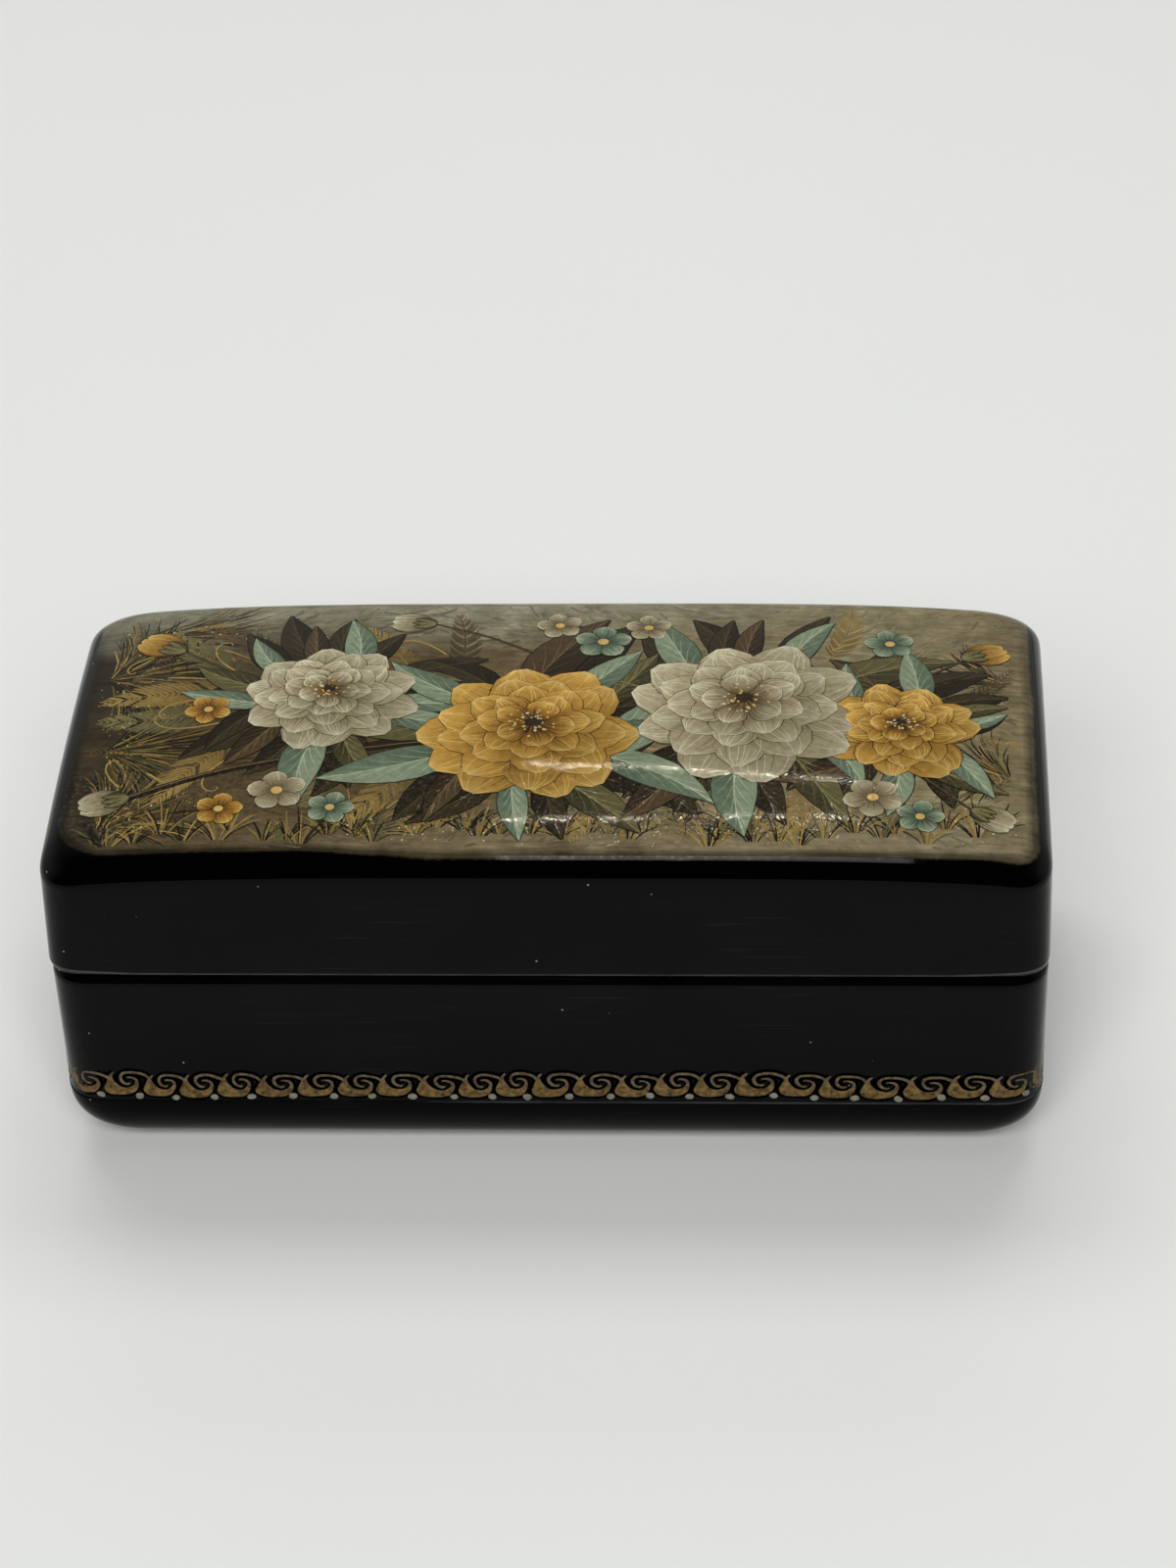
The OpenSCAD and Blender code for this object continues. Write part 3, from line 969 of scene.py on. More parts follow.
def ribbons(tree, curves, relief):
    """Lines turned into low, rounded ribbons of paint, as wide as their half widths say."""
    upright = node(tree, "GeometryNodeSetCurveNormal", {"Curve": curves}, mode="Z_UP").outputs[0]
    middle = joined(tree, Y=times(tree, relief, -1.0))
    profile = node(
        tree, "GeometryNodeCurveQuadraticBezier",
        {"Resolution": RIBBON_FACETS, "Start": (-1, 0, 0), "Middle": middle, "End": (1, 0, 0)},
    ).outputs[0]
    return node(
        tree, "GeometryNodeCurveToMesh",
        {"Curve": upright, "Profile Curve": profile, "Scale": attribute(tree, "half_width")},
    ).outputs[0]


def finish_tree(tree, geometry, material, end):
    """Ends a tree with smooth, real geometry in its material."""
    smooth = node(tree, "GeometryNodeSetShadeSmooth", {"Geometry": geometry}).outputs[0]
    real = node(tree, "GeometryNodeRealizeInstances", {"Geometry": smooth}).outputs[0]
    painted = node(tree, "GeometryNodeSetMaterial", {"Geometry": real, "Material": material}).outputs[0]
    tree.links.new(painted, end.inputs[0])


def grow(name, mesh, tree, values):
    """Runs a geometry tree on a mesh and gives the plain mesh that it makes."""
    host = in_scene(name, mesh)
    modifier = host.modifiers.new(name, "NODES")
    modifier.node_group = tree
    names = {s.name: s.identifier for s in tree.interface.items_tree if s.in_out == "INPUT"}
    for key, value in values.items():
        modifier[names[key]] = value
    grown = plain(host)
    grown.name = name
    return grown


# Gold border

BORDER_LOW = 9.05 * MM
UNIT_PITCH = 4.33
# One scroll in millimetres, from the dot before it.
# Each row gives a point of its outer edge and one of its inner edge.
SCROLL_BODY = [
    (1.66, 3.22, 1.83, 3.08), (1.42, 3.0, 1.68, 2.85), (1.17, 2.68, 1.5, 2.6), (1.02, 2.3, 1.53, 2.3),
    (0.85, 1.9, 1.68, 1.9), (0.6, 1.35, 1.9, 1.58), (0.47, 1.0, 2.15, 1.28), (0.55, 0.6, 2.45, 1.1),
    (0.8, 0.28, 2.75, 1.01), (1.3, 0.05, 3.0, 0.99), (2.0, -0.03, 3.2, 1.01), (2.7, 0.0, 3.4, 1.07),
    (3.3, 0.09, 3.58, 1.15), (3.75, 0.3, 3.75, 1.28), (4.08, 0.65, 3.9, 1.45), (4.28, 1.05, 4.02, 1.65),
    (4.4, 1.6, 4.07, 1.82), (4.33, 2.08, 3.98, 2.03), (4.1, 2.36, 3.8, 2.18), (3.75, 2.5, 3.55, 2.27),
    (3.4, 2.52, 3.35, 2.28), (3.12, 2.44, 3.2, 2.26),
]
# The arm that leaves the next scroll's neck: points and half widths.
SCROLL_ARM = [
    (5.5, 2.3, 0.16), (5.22, 2.68, 0.18), (4.6, 2.98, 0.175), (3.6, 3.12, 0.165), (2.8, 2.98, 0.165),
    (2.43, 2.52, 0.17), (2.45, 2.02, 0.175), (2.73, 1.63, 0.165), (3.15, 1.48, 0.15), (3.42, 1.6, 0.1),
]
DOT_HALVES = (0.46, 0.4)
DOT_STEPS = 9
# Where the dots of the front stand, from left to right, and how far each is raised.
FRONT_DOTS = [
    (-49.5, 0.1), (-45.2, -0.05), (-41.25, -0.3), (-37.0, -0.15), (-32.9, -0.1), (-28.3, 0.0),
    (-23.8, 0.0), (-19.6, 0.05), (-15.2, 0.0), (-10.6, 0.0), (-6.45, 0.05), (-2.6, 0.0),
    (1.95, 0.1), (6.5, 0.1), (10.8, 0.25), (15.1, 0.2), (19.5, 0.2), (24.3, 0.3),
    (28.7, 0.05), (33.1, 0.0), (37.8, -0.1), (42.5, 0.15), (47.2, 0.1), (51.7, 0.2),
]
# How far the other sides' dots stray along the border and up or down.
DOT_STRAYS = 0.2
DOT_RISES = 0.12
# How far a stroke rises in its middle, as a share of its width, and at most.
PAINT_RISE = 0.06
MOST_RISE = 0.04
# A stroke narrower than this counts as slim, over this span of widths, and its edges are slimmer still.
SLIM_WIDTH = 0.8
SLIM_SPAN = 0.4
SLIM_EDGE = 0.4
# The black ground under the scroll: how far it stands out past the gold, and how high it lies.
GROUND_PAST = 0.4
GROUND_LIFT = 0.008 * MM
GROUND_IOR = 1.03
# Brushed paint: the scale of its thin places, where it is full, and its roughness from thin to full.
THIN_SCALE = 1500.0
THIN_SPAN = (0.34, 0.64)
THIN_ROUGHNESS = (0.45, 0.28)
SCROLL_SEED = 11
# The dots are laid more loosely than the scroll.
LOOSE_DOTS = {"Seed": 23, "Tilt": 0.35, "Size Change": 0.12, "Wobble Scale": 900.0, "Lift": 0.02 * MM}


def border_path():
    """The line round the base that the border follows, as a closed loop at the height of the dots."""
    return ring(base_inset(BORDER_LOW) + TRAY_LEDGE, BORDER_LOW)


def border_places(path):
    """Where each dot stands along the path, how far it is raised, and how far its scroll is stretched.
    The front is spaced as listed, and the other sides nearly evenly."""
    hand = np.random.default_rng(7)
    steps = np.linalg.norm(np.diff(np.vstack([path, path[:1]]), axis=0), axis=1)
    reached = np.concatenate([[0], np.cumsum(steps)])
    left, right = 2 * (CORNER_STEPS + SIDE_STEPS), 3 * (CORNER_STEPS + SIDE_STEPS) + CORNER_STEPS
    front = slice(left + CORNER_STEPS // 2, right - CORNER_STEPS // 2)
    spots, raised = np.array(FRONT_DOTS).T * MM
    dots = np.interp(spots, path[front, 0], reached[:-1][front])
    rest = reached[-1] - (dots[-1] - dots[0])
    count = round(rest / (UNIT_PITCH * MM))
    strayed = hand.uniform(-DOT_STRAYS, DOT_STRAYS, count - 1) * MM
    risen = hand.uniform(-DOT_RISES, DOT_RISES, count - 1) * MM
    dots = np.concatenate([dots, dots[-1] + rest * np.arange(1, count) / count + strayed])
    raised = np.concatenate([raised, risen])
    stretched = np.diff(np.append(dots, dots[0] + reached[-1])) / (UNIT_PITCH * MM)
    return dots % reached[-1], raised, stretched


def line_mesh(name, points, closed=False):
    """A mesh of bare points, joined in a loop where it is closed."""
    mesh = bpy.data.meshes.new(name)
    n = len(points)
    mesh.from_pydata([tuple(p) for p in points], [(i, (i + 1) % n) for i in range(n)] if closed else [], [])
    return mesh


def random_between(tree, seed, low, high):
    """A random number for each place."""
    drawn = node(tree, "FunctionNodeRandomValue", {"Seed": seed}, data_type="FLOAT")
    put(tree, low, known(drawn.inputs, "Min_001"))
    put(tree, high, known(drawn.inputs, "Max_001"))
    return known(drawn.outputs, "Value_001")


def chance(tree, seed, amount, offset):
    """A random number for each place, between an amount below nothing and the same above it."""
    return random_between(tree, plus(tree, seed, float(offset)), times(tree, amount, -1.0), amount)


def border_tree():
    """Repeats one painted unit at each place, bends it a little, and wraps the row round the base."""
    tree, start, end = geometry_tree("running border", [
        ("Places", "NodeSocketObject", None),
        ("Path", "NodeSocketObject", None),
        ("Size Change", "NodeSocketFloat", 0.05),
        ("Tilt", "NodeSocketFloat", 0.025),
        ("Wobble", "NodeSocketFloat", 0.35 * MM),
        ("Wobble Scale", "NodeSocketFloat", 420.0),
        ("Lift", "NodeSocketFloat", 0.012 * MM),
        ("Lean", "NodeSocketFloat", 0.0),
        ("Seed", "NodeSocketInt", 1),
        ("Material", "NodeSocketMaterial", None),
    ])
    places = node(tree, "GeometryNodeObjectInfo", {"Object": start["Places"]}).outputs["Geometry"]
    loop = node(tree, "GeometryNodeObjectInfo", {"Object": start["Path"]}).outputs["Geometry"]
    path = node(tree, "GeometryNodeMeshToCurve", {"Mesh": loop}).outputs[0]
    tilt = joined(tree, Z=chance(tree, start["Seed"], start["Tilt"], 1))
    tall = plus(tree, chance(tree, start["Seed"], start["Size Change"], 2), 1.0)
    size = joined(tree, X=attribute(tree, "stretch"), Y=tall, Z=1.0)
    row = node(
        tree, "GeometryNodeInstanceOnPoints",
        {"Points": places, "Instance": start["Geometry"], "Rotation": tilt, "Scale": size},
    ).outputs[0]
    row = node(tree, "GeometryNodeRealizeInstances", {"Geometry": row}).outputs[0]

    place = node(tree, "GeometryNodeInputPosition").outputs[0]
    cloud = node(tree, "ShaderNodeTexNoise", {"Vector": place, "Scale": start["Wobble Scale"], "Detail": 1.0})
    bend = vector_node(tree, "SUBTRACT", cloud.outputs["Color"], (0.5, 0.5, 0.5))
    bend = vector_node(tree, "MULTIPLY", scaled(tree, bend, start["Wobble"]), (1, 1, 0))
    row = node(tree, "GeometryNodeSetPosition", {"Geometry": row, "Offset": bend}).outputs[0]

    here = split(tree, place)
    total = node(tree, "GeometryNodeCurveLength", {"Curve": path}).outputs[0]
    along = math_node(tree, "WRAP", here[0], total, 0.0)
    spot = node(tree, "GeometryNodeSampleCurve", {"Curves": path, "Length": along}, mode="LENGTH").outputs
    outward = vector_node(tree, "CROSS_PRODUCT", spot["Tangent"], (0, 0, 1))
    leaned = times(tree, here[1], start["Lean"])
    reach = plus(tree, plus(tree, here[2], start["Lift"]), leaned)
    raised = vector_node(tree, "ADD", spot["Position"], joined(tree, Z=here[1]))
    wrapped = vector_node(tree, "ADD", raised, scaled(tree, outward, reach))
    bent = node(tree, "GeometryNodeSetPosition", {"Geometry": row, "Position": wrapped}).outputs[0]
    finish_tree(tree, bent, start["Material"], end)
    return tree


def brushed_paint(name, broad, slim, ior=LACQUER_IOR):
    """Opaque paint laid by brush: thin in places, so that its colour breaks up, and paler in fine lines."""
    material, tree, shader, place = new_material(name, 0.35, ior)
    thin = noise(tree, place, THIN_SCALE, 4.0, 0.7)
    fullness = spread(tree, thin, *THIN_SPAN)
    fine = node(tree, "ShaderNodeAttribute", attribute_name="fine").outputs["Fac"]
    tone = mixed(tree, fine, mixed(tree, fullness, *broad), mixed(tree, fullness, *slim))
    tree.links.new(tone, shader.inputs["Base Color"])
    tree.links.new(spread(tree, thin, 0.3, 0.7, *THIN_ROUGHNESS), shader.inputs["Roughness"])
    add_ripple(tree, shader, place, 0.3, 0.3, 0.05 * MM)
    return material


def strip_mesh(name, strips, most_rise=MOST_RISE, wider=0.0):
    """A flat mesh of brush strokes, each raised along its middle and made wider on both sides.
    A strip's rows give its two edges in millimetres.
    The attribute fine says where a stroke is slim, and where its edge is."""
    points, faces, fine = [], [], []
    for rows in strips:
        first = len(points)
        for row in rows:
            outer, inner = row[:2], row[2:]
            width = np.linalg.norm(outer - inner)
            slim = np.clip((SLIM_WIDTH - width) / SLIM_SPAN, 0, 1)
            edge = min(slim + SLIM_EDGE, 1)
            rise = min(PAINT_RISE * width, most_rise)
            beyond = (outer - inner) * wider / width
            outer, inner = outer + beyond, inner - beyond
            points += [(*outer, 0), (*(outer + inner) / 2, rise), (*inner, 0)]
            fine += [edge, slim, edge]
        for p in range(first, len(points) - 3, 3):
            faces += [(p, p + 3, p + 4, p + 1), (p + 1, p + 4, p + 5, p + 2)]
    mesh = bpy.data.meshes.new(name)
    mesh.from_pydata((np.array(points) * MM).tolist(), [], faces)
    mesh.attributes.new("fine", "FLOAT", "POINT").data.foreach_set("value", fine)
    return mesh


def scroll_strips():
    """The two strokes of one scroll: its body, and the arm of the next one."""
    arm = flowing(SCROLL_ARM, 3)
    beside = sideways(arm[:, :2]) * arm[:, 2:]
    return [flowing(SCROLL_BODY, 2), np.hstack([arm[:, :2] - beside, arm[:, :2] + beside])]


def dot_strip():
    """One pale dot, a little wider than it is tall."""
    turn = np.linspace(-math.pi / 2, math.pi / 2, DOT_STEPS)
    x, y = DOT_HALVES[0] * np.sin(turn), DOT_HALVES[1] * np.cos(turn)
    return [np.column_stack([x, -y, x, y])]


def gold_border():
    """The running scroll in gold on its black ground, and its row of pale dots."""
    path = border_path()
    dots, raised, stretched = border_places(path)
    places = line_mesh("places", np.column_stack([dots, raised, 0 * dots]))
    places.attributes.new("stretch", "FLOAT", "POINT").data.foreach_set("value", stretched)
    tree = border_tree()
    helpers = [in_scene("places", places), in_scene("path", line_mesh("path", path, closed=True))]
    shared = {"Places": helpers[0], "Path": helpers[1], "Lean": BASE_LEAN / SEAM}
    gold = brushed_paint("gold paint", GOLD_BROAD, GOLD_SLIM)
    silver = brushed_paint("silver paint", SILVER_BROAD, SILVER_SLIM)
    ground = brushed_paint("border ground", BORDER_BLACK, BORDER_BLACK, GROUND_IOR)
    wide = strip_mesh("wide scroll", scroll_strips(), most_rise=0.0, wider=GROUND_PAST)
    scroll = strip_mesh("scroll", scroll_strips())
    dot = strip_mesh("dot", dot_strip())
    for name, slot, strips, look, settings in (
        ("border_ground", "black_lacquer", wide, ground, {"Seed": SCROLL_SEED, "Lift": GROUND_LIFT}),
        ("gold_scroll", "gold_paint", scroll, gold, {"Seed": SCROLL_SEED}),
        ("silver_dots", "silver_paint", dot, silver, LOOSE_DOTS),
    ):
        grown = grow(name, strips, tree, {**shared, **settings, "Material": look})
        add_piece(name, grown, "base")
    for made in helpers:
        bpy.data.objects.remove(made)


gold_border()


# Hinges

RIVET_END = 3 * MM
RIVET_HEAD = 0.62 * MM
RIVET_RISE = 0.12 * MM
RIVET_SEED = 5
BRASS_ROUND = 0.07 * MM
BRASS_SHARP = 35
FILED_ANGLE = math.radians(40)
WELD = 0.001 * MM


def brass_piece(name, body):
    """A leaf or a pin of a hinge, with its edges softened by filing."""
    work = bmesh.new()
    work.from_mesh(frame["nodes"][name].data)
    bmesh.ops.remove_doubles(work, verts=work.verts, dist=WELD)
    mesh = worked(f"{name}_brass", work)
    mesh.materials.clear()
    mesh.materials.append(HINGE_BRASS)
    mesh = settled(
        mesh, "BEVEL", width=BRASS_ROUND, segments=2, limit_method="ANGLE", angle_limit=FILED_ANGLE,
    )
    add_piece(f"{name}_brass", smoothed(mesh, BRASS_SHARP), body, [name])


def rivet_tree():
    """Sets a domed rivet on each point, facing out of the back of the box."""
    tree, start, end = geometry_tree("rivet row", [
        ("Radius", "NodeSocketFloat", RIVET_HEAD),
        ("Rise", "NodeSocketFloat", RIVET_RISE),
        ("Size Change", "NodeSocketFloat", 0.04),
        ("Seed", "NodeSocketInt", 1),
        ("Material", "NodeSocketMaterial", None),
    ])
    ball = node(
        tree, "GeometryNodeMeshUVSphere", {"Segments": 20, "Rings": 10, "Radius": start["Radius"]},
    ).outputs[0]
    flat = joined(tree, X=1.0, Y=math_node(tree, "DIVIDE", start["Rise"], start["Radius"]), Z=1.0)
    dome = node(tree, "GeometryNodeTransform", {"Geometry": ball, "Scale": flat}).outputs[0]
    size = random_between(tree, start["Seed"], minus(tree, 1.0, start["Size Change"]), 1.0)
    row = node(
        tree, "GeometryNodeInstanceOnPoints",
        {"Points": start["Geometry"], "Instance": dome, "Scale": size},
    ).outputs[0]
    finish_tree(tree, row, start["Material"], end)
    return tree


def hinges():
    """Two brass hinges. Their leaves sit in saw cuts inside the walls, held by rivets from the back."""
    tree = rivet_tree()
    for number, body in enumerate(("base", "lid")):
        z = sum(corner.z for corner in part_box(f"{body}_rivets")) / 2
        inset = base_inset(z) + TRAY_LEDGE if body == "base" else 0
        spots = []
        for side in ("left", "right"):
            brass_piece(f"{side}_{body}_leaf", body)
            low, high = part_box(f"{side}_{body}_leaf")
            for x in (low.x + RIVET_END, high.x - RIVET_END):
                spots.append((x, DEPTH / 2 - inset, z))
        name = f"{body}_rivet_heads"
        settings = {"Seed": RIVET_SEED + number, "Material": HINGE_BRASS}
        grown = grow(name, line_mesh(name, spots), tree, settings)
        add_piece(name, grown, body, [f"{body}_rivets"])
    for side in ("left", "right"):
        brass_piece(f"{side}_hinge_pin", "base")


hinges()


# Lid painting

# The painter's hand, and the one that lays the sprays of grass.
CHANCE = np.random.default_rng(19)
SPRAY_CHANCE = np.random.default_rng(31)

# Where the tones of the ground's back and front set in, from the middle, and over what depth.
TONE_FROM = 13
TONE_OVER = 12
# The back's tone fades towards the right, and the front's towards the left.
BACK_ENDS = 40
BACK_FADES_OVER = 30
BACK_MOST = 0.8
FRONT_GROWS = (-40, 0)
FRONT_SHARES = (0.2, 0.7)
# A field that strokes keep to: its middle, half its straight sides, and the reach of its corners past them.
FIELD = (np.array([0.1, 0.5]), np.array([45.0, 16.9]), 6.2)
GROUND_FIELD = (np.array([0.0, 0.5]), np.array([44.0, 17.0]), 6.0)
LEAF_FIELD = (50, 21.5)

# Half widths of the brush along a stroke, from its root to its tip.
LIGHT_HATCH = [0.02, 0.05, 0.07]
DARK_HATCH = [0.07, 0.06, 0.02]
VEIN = [0.07, 0.06, 0.02]
MIDRIB = [0.13, 0.1, 0.03]
FROND_RIB = [0.11, 0.09, 0.04]
TENDRIL = [0.1, 0.085, 0.06]
THREAD = [0.03, 0.05, 0.03]
# The same as shares of a width that is chosen for each stroke.
DAB = np.array([0.3, 1, 0.3])
LEAFLET = np.array([0.4, 1, 0.8, 0.15])
BLADE = np.array([0.6, 1, 0.8, 0.15])
DRY_BLADE = np.array([0.5, 1, 0.7, 0.15])
LEAF_RIM = 0.12

# Layers of the painting, from the ground up.
SPRAY_LAYER = 0.5
GRASS_LAYER = 1
FROND_LAYER = 1.5
CURL_LAYER = 2
SHADE_LAYER = 2
STEM_LAYER = 8
LEAF_LAYER = 9
BUD_LAYER = 14
SMALL_BLOSSOM_LAYER = 15
OCHRE_LAYER = 16
CREAM_LAYER = 20

# The garland. Places and lengths are in millimetres from the lid's middle, and angles in degrees.
GROUND_DABS = 2600
GRASS_CLUMPS = 38
GRASS_LEFT = -48.5
GRASS_SPAN = 97
GRASS_BLADES = 11
GRASS_TINTS = (UMBER[0], OLIVE[0], OLIVE[2], GOLD_LINE * 0.55, GOLD_LINE * 0.8)
SPRAY_TINTS = [BRONZE[3], BRONZE[2], BRONZE[1], OLIVE[2], OLIVE[1], OLIVE[0], UMBER[0], UMBER[0]]
SHADE_LEAVES = 13
BRIGHT_LEAVES = 11
LIGHT_FROM = math.radians(130)
# Rings of petals from the outside in: their number, and their reach and width as shares of the radius.
PETAL_RINGS = ((10, 1.0, 0.62), (9, 0.82, 0.52), (8, 0.64, 0.44), (7, 0.47, 0.38), (5, 0.32, 0.32))
# Fronds by root, angle, length, bend and tones.
FRONDS = [
    (-33, 5, 172, 17, 0.35, BRONZE), (-33, 2, 196, 17, -0.4, OLIVE), (-33, 8, 150, 15, -0.45, OLIVE),
    (-32, -2, 217, 16, 0.5, BRONZE), (-30, 11, 128, 13, 0.5, UMBER), (-31, -6, 236, 13, -0.4, UMBER),
    (-45, -6, 160, 7, 0.5, UMBER), (-43, 10, 120, 9, -0.5, UMBER), (-23, 12, 98, 9, -0.5, OLIVE),
    (-11, 8, 78, 13, 0.5, UMBER), (-16, 9, 112, 11, 0.4, BRONZE), (13, 13, 104, 9, 0.5, OLIVE),
    (30, 11, 62, 12, 0.5, BRONZE), (33, 8, 40, 11, -0.4, OLIVE), (45, 4, 38, 9, 0.5, UMBER),
    (46, -3, 0, 6, -0.5, BRONZE), (44, -8, -40, 8, 0.5, OLIVE), (-15, -8, 247, 13, -0.4, BRONZE),
    (-20, -4, 232, 13, 0.4, OLIVE), (9, -10, 286, 12, 0.4, OLIVE), (6, -13, 262, 9, -0.4, BRONZE),
    (28, -9, 268, 13, -0.4, BRONZE), (17, -9, 250, 12, 0.4, UMBER),
]
# Curls by root, angle, length and turn.
CURLS = [
    (-34, 3, 165, 16, 4.6), (-35, 0, 200, 15, -4.8), (-34, 8, 140, 14, -4.4), (-32, -5, 215, 15, 4.6),
    (-44, 14, 200, 9, 4.4), (-46, -12, 130, 9, -4.4), (46, 2, 20, 7, 4.4), (30, 13, 40, 11, -4.6),
    (-12, 12, 130, 11, 4.6), (12, 14, 40, 9, -4.4), (46, -8, -20, 6, -4.4),
]
# Sprays by root, angle, half fan, length and number of strokes.
SPRAYS = [
    (-50, 9, 5, 75, 13, 260), (-49, -5, -5, 60, 12, 220), (-48, -19, 45, 50, 11, 160),
    (-47, 18, -12, 40, 14, 130), (-20, -21, 70, 60, 8, 110), (2, -21, 95, 60, 7, 90),
    (22, -21, 100, 60, 7, 90), (50, 8, 175, 50, 9, 90), (50, -10, 160, 55, 9, 90),
]
# Scatters of dots by middle, width, height and number.
STIPPLES = [
    (-44, -16, 3.5, 2, 90), (-47, 4, 1.6, 6, 90), (-12, -19, 5, 1.2, 110), (10, -20, 6, 1, 90),
    (30, -19.5, 5, 1.2, 80), (-38, 18, 5, 1.5, 60), (46, -18, 2, 1.5, 40),
]
# Stems by the points that they pass through, and their half width.
STEMS = [
    ([(-46, -14), (-34, -9), (-16, -5), (4, -2), (22, 1), (36, 5), (46, 13)], 0.5),
    ([(-20, -6), (-28, 2), (-36, 9), (-42, 14)], 0.35),
    ([(26, 2), (36, -6), (42, -12), (46, -16)], 0.35),
    ([(4, -2), (2, 8), (-6, 15), (-14, 19)], 0.3),
]
# Buds by root, angle, length and tones.
BUDS = [
    (-42, 14, 150, 6, OCHRE), (45.5, -15.5, -30, 5, CREAM), (-14, 19, 175, 5, CREAM),
    (45, 12.5, 25, 5.5, OCHRE), (-45, -13.5, 195, 5.5, CREAM),
]
# Blossoms by middle, radius and tones.
SMALL_BLOSSOMS = [
    (5, 15, 3.2, MINT), (10, 18, 2.6, CREAM), (0, 18.5, 2.6, CREAM), (35, -14, 3.2, CREAM),
    (40, -17, 2.6, MINT), (-29, -13, 3.2, CREAM), (-35, -16, 2.6, OCHRE), (-23, -16, 2.6, MINT),
    (37, 15, 2.8, MINT), (-38, 2, 2.6, OCHRE),
]
BLOSSOMS = [(-25, 4, 9.5, CREAM), (38, -2, 8.5, OCHRE), (-2, -3, 12, OCHRE), (21, 1.5, 12.5, CREAM)]


def ground_tone(x, y):
    """Colour of the painted ground at a point of the lid."""
    tone = np.array([np.interp(x, GROUND_PLACES, GROUND_TONES[:, i]) for i in range(3)])
    faded = np.clip((BACK_ENDS - x) / BACK_FADES_OVER, 0, BACK_MOST)
    back = np.clip((y - TONE_FROM) / TONE_OVER, 0, 1) * faded
    front = np.clip((-TONE_FROM - y) / TONE_OVER, 0, 1) * np.interp(x, FRONT_GROWS, FRONT_SHARES)
    return tone * (1 - back - front) + BACK_TONE * back + FRONT_TONE * front


def bent_line(start, angle, length, bend, points=9):
    """A line that leaves a point at an angle and turns evenly. Its points crowd towards its ends."""
    share = (1 - np.cos(np.linspace(0, math.pi, points))) / 2
    heading = angle + bend * (share[:-1] + share[1:]) / 2
    steps = np.diff(share)[:, None] * length * np.column_stack([np.cos(heading), np.sin(heading)])
    return np.vstack([[0, 0], np.cumsum(steps, axis=0)]) + start, share


def on_field(line, field=FIELD):
    """Whether a line stays on a field, clear of its edge."""
    middle, straight, reach = field
    past = np.maximum(np.abs(line - middle) - straight, 0)
    return np.all(np.hypot(*past.T) < reach)


